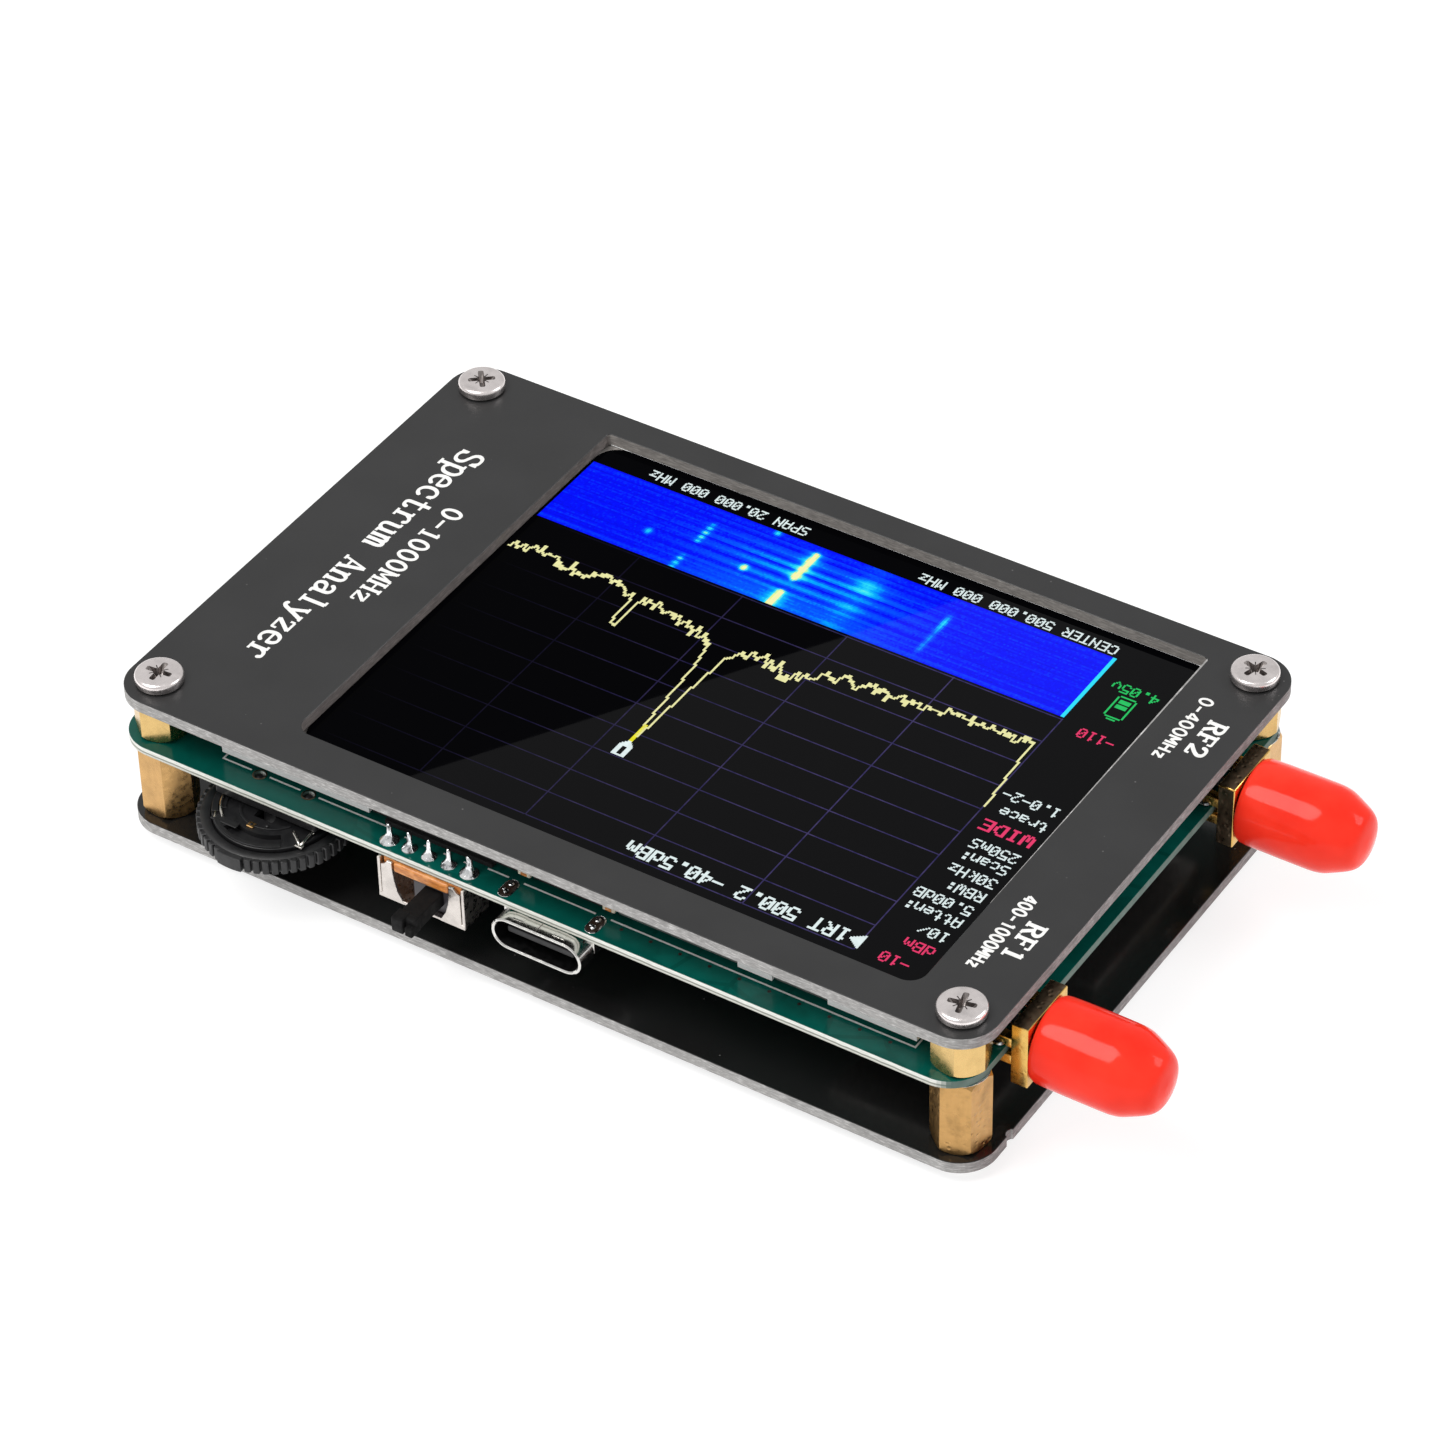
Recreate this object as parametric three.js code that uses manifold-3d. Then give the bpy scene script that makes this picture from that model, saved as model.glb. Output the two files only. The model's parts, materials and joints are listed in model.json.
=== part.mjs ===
// Handheld spectrum analyzer built as an open stack of three circuit boards on brass standoffs.
// Millimetres, +Z up. +X points to the two coaxial connectors, -Y to the edge with the controls.
// The origin is the centre of the bounding box's bottom face; z = 0 is the plane of the four lower screw heads.
import * as THREE from "three";
import { mergeVertices } from "three/addons/utils/BufferGeometryUtils.js";
import Module from "manifold-3d";

const wasm = await Module();
wasm.setup();

// ---- driving dimensions -------------------------------------------------
const PLATE_L = 85.9; // length of the cover boards, along X
const BOARD_X1 = 42.0; // the main board stops short of the covers on the connector side
const PLATE_W = 55.1; // width of all three boards, along Y
const CORNER_R = 3.5;
const HOLE_X = 39.75; // screw positions, from the centre of the boards
const HOLE_Y = 24.35;
const HEAD_H = 1.05; // screw head height
const HEAD_R = 2.15;
const COVER_T = 1.2; // both cover boards
const BOARD_T = 0.8; // main board
const LOWER_GAP = 7.8; // lower standoff length
const UPPER_GAP = 3.9; // upper standoff length
const HEX_AF = 4.5; // standoff across flats
const THREAD_R = 1.2; // M2.5 thread, drawn plain
const BORE_R = 1.3;

const Z_BOT0 = HEAD_H;
const Z_BOT1 = Z_BOT0 + COVER_T;
const Z_MB0 = Z_BOT1 + LOWER_GAP;
const Z_MB1 = Z_MB0 + BOARD_T;
const Z_TOP0 = Z_MB1 + UPPER_GAP;
const Z_TOP1 = Z_TOP0 + COVER_T;
const Z_ALL = Z_TOP1 + HEAD_H; // 17.0 overall

const WINDOW = [-26.15, -23.5, 35.05, 24.6]; // x0, y0, x1, y1 in the top cover
const LCD = [-33.0, -25.05, 36.0, 25.05];
const FRAME_RECESS = [
  [-17.7, 19.0],
  [22.3, 27.6],
];

const SMA_Y = [-18.2, 16.1];
const FLANGE_X0 = 42.55;
const SMA_Z = (Z_MB0 + Z_MB1) / 2; // connector axis in the board's mid plane
const FLANGE = 6.35;
const FLANGE_T = 1.6;
const BARREL_R = 3.12;
const BARREL_X1 = 52.0;
const CAP_X0 = 44.3;
const CAP_TIP_X = 55.35;

const USB = { x: 1.6, w: 8.94, h: 3.25, y0: -28.9, y1: -21.6, wall: 0.3 };
const USB_Z1 = Z_MB0 - 0.05;
const USB_ZC = USB_Z1 - USB.h / 2;

const SW_X = -10.65; // slide switch centre
const SW_TRAVEL = 2.0;
const LEVER_TIP_Y = -32.2;
const JOG = { x: -27.4, y: -25.4, r: 6.86, z0: 6.35, z1: 7.85, teeth: 60 };

// the boards' centre is moved so that the bounding box is centred on x = 0, y = 0
const OX = -(-PLATE_L / 2 + CAP_TIP_X) / 2;
const OY = -(JOG.y - JOG.r - 0.18 + PLATE_W / 2) / 2;

// ---- helpers --------------------------------------------------------------
function solid(geometry) {
  const flat = geometry.index ? geometry.toNonIndexed() : geometry.clone();
  const bare = new THREE.BufferGeometry().setAttribute("position", flat.getAttribute("position"));
  const g = mergeVertices(bare, 1e-4);
  return new wasm.Manifold(
    new wasm.Mesh({ numProp: 3, vertProperties: g.attributes.position.array, triVerts: new Uint32Array(g.index.array) }),
  );
}
function union(...list) {
  return list.reduce((a, b) => a.add(b));
}
function cut(a, ...list) {
  return list.reduce((m, b) => m.subtract(b), a);
}
function box(x0, y0, z0, x1, y1, z1) {
  return solid(new THREE.BoxGeometry(x1 - x0, y1 - y0, z1 - z0).translate((x0 + x1) / 2, (y0 + y1) / 2, (z0 + z1) / 2));
}
function cylZ(x, y, r, z0, z1, seg = 24, r1 = r) {
  return solid(new THREE.CylinderGeometry(r1, r, z1 - z0, seg).rotateX(Math.PI / 2).translate(x, y, (z0 + z1) / 2));
}
function cylX(y, z, r, x0, x1, seg = 28) {
  return solid(new THREE.CylinderGeometry(r, r, x1 - x0, seg).rotateZ(-Math.PI / 2).translate((x0 + x1) / 2, y, z));
}
// a profile of [radius, height] turned round Z
function turned(profile, seg = 28) {
  return new THREE.LatheGeometry(profile.map((p) => new THREE.Vector2(p[0], p[1])), seg).rotateX(Math.PI / 2);
}
function roundRect(x0, y0, x1, y1, r, seg = 6) {
  const rs = Array.isArray(r) ? r : [r, r, r, r]; // -x-y, +x-y, +x+y, -x+y
  const s = new THREE.Shape();
  s.moveTo(x0 + rs[0], y0);
  s.lineTo(x1 - rs[1], y0);
  s.absarc(x1 - rs[1], y0 + rs[1], rs[1], -Math.PI / 2, 0, false);
  s.lineTo(x1, y1 - rs[2]);
  s.absarc(x1 - rs[2], y1 - rs[2], rs[2], 0, Math.PI / 2, false);
  s.lineTo(x0 + rs[3], y1);
  s.absarc(x0 + rs[3], y1 - rs[3], rs[3], Math.PI / 2, Math.PI, false);
  s.lineTo(x0, y0 + rs[0]);
  s.absarc(x0 + rs[0], y0 + rs[0], rs[0], Math.PI, Math.PI * 1.5, false);
  return { shape: s, seg };
}
function plate(outline, z0, z1) {
  return solid(
    new THREE.ExtrudeGeometry(outline.shape, { depth: z1 - z0, bevelEnabled: false, curveSegments: outline.seg }).translate(0, 0, z0),
  );
}
const root = new THREE.Group();
function part(name, manifold, color, roughness = 0.6, metalness = 0) {
  const m = manifold.getMesh();
  const g = new THREE.BufferGeometry();
  const n = m.numProp;
  const v = new Float32Array(m.numVert * 3);
  for (let i = 0; i < m.numVert; i++) v.set(m.vertProperties.subarray(i * n, i * n + 3), i * 3);
  g.setAttribute("position", new THREE.BufferAttribute(v, 3));
  g.setIndex(new THREE.BufferAttribute(new Uint32Array(m.triVerts), 1));
  g.computeVertexNormals();
  g.translate(OX, OY, 0);
  const mesh = new THREE.Mesh(g, new THREE.MeshStandardMaterial({ color, roughness, metalness }));
  mesh.name = name;
  root.add(mesh);
  return mesh;
}
const CORNERS = [
  [-HOLE_X, -HOLE_Y],
  [HOLE_X, -HOLE_Y],
  [HOLE_X, HOLE_Y],
  [-HOLE_X, HOLE_Y],
];

// ---- cover boards -----------------------------------------------------------
const outline = () => roundRect(-PLATE_L / 2, -PLATE_W / 2, PLATE_L / 2, PLATE_W / 2, CORNER_R, 7);
{
  let top = plate(outline(), Z_TOP0, Z_TOP1);
  top = cut(top, plate(roundRect(...WINDOW, [1.4, 1.6, 0.4, 0.4], 5), Z_TOP0 - 1, Z_TOP1 + 1));
  for (const [x, y] of CORNERS) top = cut(top, cylZ(x, y, BORE_R + 0.05, Z_TOP0 - 1, Z_TOP1 + 1, 20));
  part("top_cover_board", top, 0x474748, 0.5);

  let bottom = plate(outline(), Z_BOT0, Z_BOT1);
  for (const [x, y] of CORNERS) bottom = cut(bottom, cylZ(x, y, BORE_R + 0.05, Z_BOT0 - 1, Z_BOT1 + 1, 20));
  bottom = cut(bottom, cylZ(PLATE_L / 2 + 0.25, -21.9, 0.55, Z_BOT0 - 1, Z_BOT1 + 1, 16)); // break-off mark
  part("bottom_cover_board", bottom, 0x111112, 0.18);
}

// ---- main board --------------------------------------------------------------
const SW_PINS = [-2, 0, 2].map((d) => SW_X + d);
const SW_LEGS = [-4.05, 4.05].map((d) => SW_X + d);
const SW_PIN_Y = -26.4;
const USB_TABS = [-26.26, -22.3];
const PEG_X = [JOG.x - 2.55 + 0.98, JOG.x + 2.55 + 0.98];
const PEG_Y = -25.25;
{
  let mb = plate(roundRect(-PLATE_L / 2, -PLATE_W / 2, BOARD_X1, PLATE_W / 2, CORNER_R, 7), Z_MB0, Z_MB1);
  const through = (x, y, r, seg = 14) => cylZ(x, y, r, Z_MB0 - 1, Z_MB1 + 1, seg);
  for (const [x, y] of CORNERS) mb = cut(mb, through(x, y, BORE_R + 0.05, 20));
  for (const x of SW_PINS) mb = cut(mb, through(x, SW_PIN_Y, 0.42));
  for (const x of SW_LEGS) mb = cut(mb, through(x, SW_PIN_Y, 0.55));
  for (const x of PEG_X) mb = cut(mb, through(x, PEG_Y, 0.52));
  for (const s of [-1, 1])
    for (const y of USB_TABS)
      mb = cut(mb, box(USB.x + s * 4.32 - 0.32, y - 0.8, Z_MB0 - 1, USB.x + s * 4.32 + 0.32, y + 0.8, Z_MB1 + 1));
  part("main_board", mb, 0x0a5a4e, 0.35);
}

// ---- standoffs and screws ------------------------------------------------------
// a hexagonal bar with one of its edges at the angle a, in degrees
function hex(x, y, z0, z1, a) {
  const r = HEX_AF / Math.sqrt(3);
  const g = new THREE.CylinderGeometry(r, r, z1 - z0, 6).rotateX(Math.PI / 2).rotateZ(((a - 30) * Math.PI) / 180);
  return solid(g.translate(x, y, (z0 + z1) / 2));
}
const UPPER_TURN = [20, 47, 50, 35]; // how far each standoff was turned when it was tightened
const LOWER_TURN = [55, 19, 30, 5];
function screw(x, y, zHead, dir) {
  // head on the far side of zHead, shank the other way
  const e = 0.22;
  const prof = [
    [0, 0],
    [HEAD_R, 0],
    [HEAD_R, HEAD_H - e],
    [HEAD_R - e, HEAD_H],
    [0, HEAD_H],
  ];
  let s = solid(turned(prof, 28));
  s = union(s, cylZ(0, 0, THREAD_R, -(COVER_T + 1.65), 0.2, 16));
  const arm = (a) => {
    const g = new THREE.BoxGeometry(2.4, 0.55, 0.7).rotateZ(a).translate(0, 0, HEAD_H);
    return solid(g);
  };
  s = cut(s, arm(0.4), arm(0.4 + Math.PI / 2));
  if (dir < 0) s = s.rotate([180, 0, 0]);
  return s.translate([x, y, zHead]);
}
CORNERS.forEach(([x, y], i) => {
  const n = i + 1;
  part("upper_standoff_" + n, cut(hex(x, y, Z_MB1, Z_TOP0, UPPER_TURN[i]), cylZ(x, y, BORE_R, Z_MB1 - 1, Z_TOP0 + 1, 16)), 0xd9b060, 0.3, 1);
  const lower = union(
    cut(hex(x, y, Z_BOT1, Z_MB0, LOWER_TURN[i]), cylZ(x, y, BORE_R, Z_BOT1 - 1, Z_BOT1 + 4, 16)),
    cylZ(x, y, THREAD_R, Z_MB0 - 0.5, Z_MB1 + 1.7, 16),
  );
  part("lower_standoff_" + n, lower, 0xc99a4c, 0.35, 1);
  part("top_screw_" + n, screw(x, y, Z_TOP1, 1), 0xd8cfcf, 0.28, 1);
  part("bottom_screw_" + n, screw(x, y, Z_BOT0, -1), 0xd8cfcf, 0.28, 1);
});

// ---- display --------------------------------------------------------------------
part("display_glass", plate(roundRect(LCD[0] + 0.25, LCD[1] + 0.25, LCD[2] - 0.25, LCD[3] - 0.25, 1.0, 4), 13.57, 14.6), 0x050506, 0.08);
part("display_cover_lens", plate(roundRect(-26.0, -23.35, 34.9, 24.45, [1.7, 1.5, 0.7, 2.3], 6), 14.62, 14.95), 0x050506, 0.08);
{
  let frame = plate(roundRect(...LCD, 0.6, 3), 11.45, 13.55);
  // ledges along the -Y side
  for (const [x0, x1] of FRAME_RECESS) frame = cut(frame, box(x0, LCD[1] - 1, 11, x1, LCD[1] + 0.55, 14));
  part("display_frame", frame, 0xe4e4e6, 0.45);
}
part("display_foam_tape", box(LCD[0] + 2.0, LCD[1] + 1.6, Z_MB1 + 0.02, LCD[2] - 2.0, LCD[3] - 1.6, 11.43), 0x1b1b1c, 0.9);
{
  // flat cable: leaves the short end of the display, turns down and lies on the main board
  const x0 = LCD[0];
  const cable = union(
    box(x0 - 1.3, -9, 12.9, x0 - 0.05, 9, 13.1),
    box(x0 - 1.5, -9, Z_MB1 + 0.02, x0 - 1.3, 9, 13.1),
    box(x0 - 5.4, -9, Z_MB1 + 0.02, x0 - 1.3, 9, Z_MB1 + 0.2),
  );
  part("display_flat_cable", cable, 0xb9772c, 0.5);
}

// ---- parts under the main board -----------------------------------------------------
const under = (x, y, w, d, h) => box(x - w / 2, y - d / 2, Z_MB0 - 0.02 - h, x + w / 2, y + d / 2, Z_MB0 - 0.02);
part("battery_cell", plate(roundRect(-32.0, -15.5, 16.0, 18.5, 1.6, 4), Z_BOT1 + 0.62, Z_BOT1 + 5.0), 0xb9bcc0, 0.35);
part("battery_tape", box(-28, -11, Z_BOT1 + 0.02, 12, 14, Z_BOT1 + 0.6), 0xd8d8d2, 0.9);
part("battery_connector", cut(under(-33.5, 22.6, 6.0, 4.6, 3.4), box(-36, 19.9, Z_MB0 - 3.1, -31, 22.4, Z_MB0 - 0.6)), 0xe9e4d6, 0.55);
function lead(points, r) {
  const path = new THREE.CatmullRomCurve3(points.map((p) => new THREE.Vector3(...p)));
  const c = new THREE.Shape();
  c.absarc(0, 0, r, 0, Math.PI * 2, false);
  return solid(new THREE.ExtrudeGeometry(c, { steps: 11, bevelEnabled: false, extrudePath: path, curveSegments: 4 }));
}
for (const [name, dx, color] of [
  ["battery_lead_red", 1, 0xb01818],
  ["battery_lead_black", -1, 0x141414],
])
  part(
    name,
    lead(
      [
        [-33.5 + dx, 22.1, 8.3],
        [-33.5 + dx, 21.0, 8.0],
        [-33.9 + dx * 0.9, 18.6, 6.0],
        [-34.2 + dx * 0.8, 16.2, 4.9],
        [-33.6 + dx * 0.4, 14.2 + dx * 0.8, 4.7],
        [-32.1, 13.4 + dx * 1.5, 4.7],
      ],
      0.42,
    ),
    color,
    0.5,
  );
part("mcu_chip", under(-12.0, 21.6, 7.0, 7.0, 0.9), 0x1a1a1b, 0.6);
part("crystal_oscillator", under(2.0, 22.4, 5.0, 3.2, 1.2), 0xc9b98a, 0.3, 0.8);
part("charger_chip", under(10.5, -22.2, 5.0, 3.9, 1.2), 0x1a1a1b, 0.6);
part("rf_chip_1", under(31.0, -12.6, 4.0, 4.0, 0.8), 0x1a1a1b, 0.6);
part("rf_chip_2", under(31.0, 11.4, 4.0, 4.0, 0.8), 0x1a1a1b, 0.6);
{
  const can = (y) => {
    const x0 = 24.6,
      x1 = 37.4,
      y0 = y - 9.2,
      y1 = y + 9.2,
      zt = Z_MB0 - 0.02,
      h = 2.3,
      t = 0.25;
    return cut(box(x0, y0, zt - h, x1, y1, zt), box(x0 + t, y0 + t, zt - h + t, x1 - t, y1 - t, zt + 1));
  };
  part("shield_can_1", can(-11.2), 0xbfc1c4, 0.35, 1);
  part("shield_can_2", can(11.2), 0xbfc1c4, 0.35, 1);
}

// ---- coaxial connectors and their dust caps --------------------------------------------
const PLATE_X1 = PLATE_L / 2;
SMA_Y.forEach((y, i) => {
  const n = i + 1,
    f = FLANGE / 2,
    x0 = FLANGE_X0,
    x1 = FLANGE_X0 + FLANGE_T;
  let body = union(box(x0, y - f, SMA_Z - f, x1, y + f, SMA_Z + f), cylX(y, SMA_Z, BARREL_R, x1 - 0.2, BARREL_X1, 28));
  for (const s of [-1, 1]) {
    body = body.add(box(PLATE_X1 - 4.3, y + s * 2.55 - 0.5, Z_MB1 + 0.02, x0 + 0.2, y + s * 2.55 + 0.5, Z_MB1 + 1.0));
    body = body.add(box(PLATE_X1 - 4.3, y + s * 2.55 - 0.5, Z_MB0 - 1.0, x0 + 0.2, y + s * 2.55 + 0.5, Z_MB0 - 0.02));
  }
  body = cut(body, cylX(y, SMA_Z, 2.05, x0 - 1, BARREL_X1 + 1, 24), cylX(y, SMA_Z, 2.35, BARREL_X1 - 2.0, BARREL_X1 + 1, 24));
  part("sma_body_" + n, body, 0xc89a48, 0.3, 1);
  part("sma_insulator_" + n, cut(cylX(y, SMA_Z, 2.0, 43.6, BARREL_X1 - 2.1, 24), cylX(y, SMA_Z, 0.7, 43, BARREL_X1, 16)), 0xf2f0ea, 0.5);
  const contact = union(cylX(y, SMA_Z, 0.63, 43.1, BARREL_X1 - 1.0, 16), box(40.9, y - 0.4, Z_MB1 + 0.02, 43.4, y + 0.4, Z_MB1 + 0.2));
  part("sma_contact_" + n, cut(contact, cylX(y, SMA_Z, 0.46, BARREL_X1 - 3.5, BARREL_X1, 12)), 0xd8b25a, 0.25, 1);

  // moulded vinyl cap: round sleeve with a tapered closed end
  const L = CAP_TIP_X - CAP_X0;
  const profile = [
    [3.28, 0],
    [3.62, 0],
    [3.84, 0.35],
    [3.88, 3.6],
    [3.86, 6.95],
    [3.62, 8.25],
    [2.95, 9.85],
    [2.3, 10.7],
    [1.6, 10.97],
    [0, L],
    [0, 8.1],
    [3.05, 8.1],
    [3.28, 7.75],
    [3.28, 0],
  ];
  const g = turned(profile, 32).rotateY(Math.PI / 2); // z axis of the profile to +X
  part("dust_cap_" + n, solid(g.translate(CAP_X0, y, SMA_Z)), 0xff3c28, 0.3);
});

// ---- USB-C socket ------------------------------------------------------------------------
{
  const stadium = (w, h, y0, y1) => {
    const r = h / 2 - 0.001;
    const s = roundRect(-w / 2, -h / 2, w / 2, h / 2, r, 5);
    const g = new THREE.ExtrudeGeometry(s.shape, { depth: y1 - y0, bevelEnabled: false, curveSegments: 5 });
    // extrusion axis to +Y, shape height to Z
    g.rotateX(Math.PI / 2).translate(USB.x, y1, USB_ZC);
    return solid(g);
  };
  let shell = cut(
    stadium(USB.w, USB.h, USB.y0, USB.y1),
    stadium(USB.w - 2 * USB.wall, USB.h - 2 * USB.wall, USB.y0 - 1, USB.y1 - 0.3),
  );
  for (const s of [-1, 1])
    for (const y of USB_TABS) {
      const x = USB.x + s * 4.32;
      shell = shell.add(box(x - 0.15, y - 0.6, USB_ZC - 0.2, x + 0.15, y + 0.6, Z_MB1 + 0.03));
    }
  part("usb_c_shell", shell, 0xc9ccce, 0.3, 1);
  const tongue = union(
    box(USB.x - 3.3, USB.y0 + 0.75, USB_ZC - 0.35, USB.x + 3.3, -23.0, USB_ZC + 0.35),
    box(USB.x - 3.1, -24.2, USB_ZC - 1.25, USB.x + 3.1, USB.y1 - 0.4, USB_ZC + 1.25),
  );
  part("usb_c_tongue", tongue, 0x17181a, 0.45);
}

// ---- slide switch ---------------------------------------------------------------------------
{
  const x0 = SW_X - 4.4,
    x1 = SW_X + 4.4,
    y0 = -27.92,
    y1 = -24.3,
    z0 = 5.7,
    z1 = Z_MB0 - 0.06,
    t = 0.3;
  let frame = union(
    box(x0, y0, z0, x1, y1, z0 + t),
    box(x0, y0, z0, x0 + t, y1, z1),
    box(x1 - t, y0, z0, x1, y1, z1),
    box(x0, y0, z0, x0 + 2.15, y0 + t, z1),
    box(x1 - 2.15, y0, z0, x1, y0 + t, z1),
    box(x0, y1 - t, z0, x1, y1, z1 - 1.3),
  );
  for (const x of SW_LEGS) frame = frame.add(box(x - 0.35, SW_PIN_Y - 0.18, z1 - 1.0, x + 0.35, SW_PIN_Y + 0.18, Z_MB1 + 0.55));
  part("power_switch_frame", frame, 0xe6e0dc, 0.35, 0.9);

  let base = union(
    box(x0 + 0.35, y0 + 0.35, Z_MB0 - 1.15, x1 - 0.35, y1 - 0.35, Z_MB0 - 0.08),
    box(x0 + 2.2, y0 + 0.04, Z_MB0 - 1.15, x1 - 2.2, y0 + 0.6, Z_MB0 - 0.08),
  );
  for (const x of SW_PINS) base = cut(base, cylZ(x, SW_PIN_Y, 0.36, Z_MB0 - 2, Z_MB0 + 1, 12));
  for (const x of SW_LEGS) base = cut(base, box(x - 0.6, SW_PIN_Y - 0.4, Z_MB0 - 2, x + 0.6, SW_PIN_Y + 0.4, Z_MB0 + 1));
  part("power_switch_base", base, 0xc0702c, 0.6);
  SW_PINS.forEach((x, i) =>
    part("power_switch_pin_" + (i + 1), cylZ(x, SW_PIN_Y, 0.26, Z_MB0 - 1.25, Z_MB1 + 0.75, 10), 0xd6d4d0, 0.3, 1),
  );
  // lever: sliding block inside the frame and a square handle that comes out between the ears
  const lx = SW_X + SW_TRAVEL / 2;
  const lever = union(
    box(lx - 2.1, -27.4, 6.1, lx + 2.1, -24.75, 8.65),
    box(lx - 1.05, LEVER_TIP_Y, 7.0, lx + 1.05, -27.0, 8.55),
  );
  part("power_switch_lever", lever, 0x1d1e20, 0.55);
}

// ---- jog dial ---------------------------------------------------------------------------------
{
  const { x, y, r, z0, z1, teeth } = JOG;
  // fixed base under the board, with a guide post
  let base = box(x - 5.2, -26.9, Z_MB0 - 1.5, x + 5.2, -18.6, Z_MB0 - 0.03);
  base = base.add(box(x - 0.7, y - 0.9, z0 + 0.1, x + 0.7, y + 0.9, Z_MB0 - 1.2));
  for (const px of PEG_X) base = base.add(cylZ(px, PEG_Y, 0.42, Z_MB0 - 0.5, Z_MB1 - 0.1, 12));
  part("jog_base", base, 0x1b1c1e, 0.6);

  // carrier: disc with a hub; it slides towards +Y on the post
  const slot = box(x - 0.95, y - 1.95, z0 - 1, x + 0.95, y + 1.2, z1 + 2);
  const carrier = union(
    cylZ(x, y, 5.5, z0 + 0.95, z0 + 1.75, 32),
    cylZ(x, y, 2.6, z0 - 0.1, z0 + 1.2, 24),
    cylZ(x, y, 3.2, z0 - 0.4, z0 - 0.08, 24),
  );
  part("jog_carrier", cut(carrier, slot), 0x242528, 0.55);

  // wheel: ribbed rim with a web that runs between the carrier's disc and its end flange
  const pts = [];
  const half = (10 * Math.PI) / 180;
  const step = (2 * Math.PI) / teeth;
  const a0 = -Math.PI / 2; // the smooth pad faces -Y
  const push = (a, rr) => pts.push(new THREE.Vector2(x + rr * Math.cos(a), y + rr * Math.sin(a)));
  for (const k of [-1, -0.5, 0, 0.5, 1]) push(a0 + k * half, r + 0.18);
  const n = Math.floor((2 * Math.PI - 2 * half) / step);
  const s2 = (2 * Math.PI - 2 * half) / n;
  for (let i = 0; i < n; i++) {
    const b = a0 + half + i * s2;
    push(b + 0.16 * s2, r - 0.3);
    push(b + 0.4 * s2, r - 0.3);
    push(b + 0.52 * s2, r);
    push(b + 0.9 * s2, r);
  }
  const ring = new THREE.Shape(pts);
  let wheel = solid(new THREE.ExtrudeGeometry(ring, { depth: z1 - z0, bevelEnabled: false }).translate(0, 0, z0));
  wheel = cut(wheel, cylZ(x, y, r - 0.95, z0 + 0.65, z1 + 1, 40), cylZ(x, y, 2.85, z0 - 1, z1 + 1, 24));
  part("jog_wheel", wheel, 0x26272a, 0.6);

  // metal clip on the carrier: a pad with two splayed arms
  const zc = z0 + 1.77;
  const leaf = (list) => {
    const shape = new THREE.Shape(list.map(([u, v]) => new THREE.Vector2(x + u, y + v)));
    return solid(new THREE.ExtrudeGeometry(shape, { depth: 0.36, bevelEnabled: false }).translate(0, 0, zc));
  };
  const clip = union(
    leaf([[4.4, -3.45], [5.15, -3.45], [5.15, -3.0], [4.4, -3.0]]),
    leaf([[4.62, -3.3], [4.9, -3.05], [3.45, -2.02], [3.25, -2.27]]),
    leaf([[4.72, -3.3], [5.05, -3.3], [4.92, -1.2], [4.62, -1.25]]),
  );
  part("jog_clip", clip, 0xdcd8cf, 0.25, 1);
}

export default root;
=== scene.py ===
import bpy
import bmesh
import json
import math
import random
from mathutils import Vector, Matrix, geometry

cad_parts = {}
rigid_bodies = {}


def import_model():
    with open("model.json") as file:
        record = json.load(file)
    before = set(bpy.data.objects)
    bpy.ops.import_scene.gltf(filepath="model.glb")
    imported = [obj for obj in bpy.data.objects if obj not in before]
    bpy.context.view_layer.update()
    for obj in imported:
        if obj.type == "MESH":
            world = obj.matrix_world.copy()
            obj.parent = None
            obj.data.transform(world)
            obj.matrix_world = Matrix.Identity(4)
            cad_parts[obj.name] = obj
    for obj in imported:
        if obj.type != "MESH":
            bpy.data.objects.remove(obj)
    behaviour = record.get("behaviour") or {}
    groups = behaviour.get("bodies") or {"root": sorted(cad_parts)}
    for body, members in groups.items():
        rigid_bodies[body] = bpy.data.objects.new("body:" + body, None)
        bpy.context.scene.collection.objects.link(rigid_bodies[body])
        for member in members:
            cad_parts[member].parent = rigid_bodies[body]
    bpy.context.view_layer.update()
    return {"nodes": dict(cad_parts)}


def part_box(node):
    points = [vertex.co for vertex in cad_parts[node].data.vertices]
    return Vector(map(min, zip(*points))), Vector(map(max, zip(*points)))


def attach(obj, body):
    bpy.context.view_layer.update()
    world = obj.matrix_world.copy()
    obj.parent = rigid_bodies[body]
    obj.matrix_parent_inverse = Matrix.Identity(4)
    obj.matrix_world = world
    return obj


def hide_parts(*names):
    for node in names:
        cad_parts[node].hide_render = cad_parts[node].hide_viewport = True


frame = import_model()
MM = 0.001
OX, OY = -6.2, 2.445  # plate centre to frame origin, in millimetres
PI = math.pi
rng = random.Random(7)

# ------------------------------------------------------------------ camera first
cam_data = bpy.data.cameras.new("camera")
cam = bpy.data.objects.new("camera", cam_data)
bpy.context.scene.collection.objects.link(cam)
cam_data.sensor_width = 36.0
cam_data.lens = 140.477
cam_data.clip_start = 0.01
cam_data.clip_end = 20
right = Vector((0.84301, 0.53758, -0.01838))
up = Vector((-0.33422, 0.55026, 0.76519))
fwd = Vector((-0.42146, 0.63892, -0.64355))
cam.matrix_world = Matrix(
    (
        (right.x, up.x, -fwd.x, 0.198407),
        (right.y, up.y, -fwd.y, -0.305334),
        (right.z, up.z, -fwd.z, 0.321836),
        (0, 0, 0, 1),
    )
)
bpy.context.scene.camera = cam

# ------------------------------------------------------------------ positions from the frame


def mmbox(node):
    lo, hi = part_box(node)
    return [c * 1000 for c in lo], [c * 1000 for c in hi]


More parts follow.
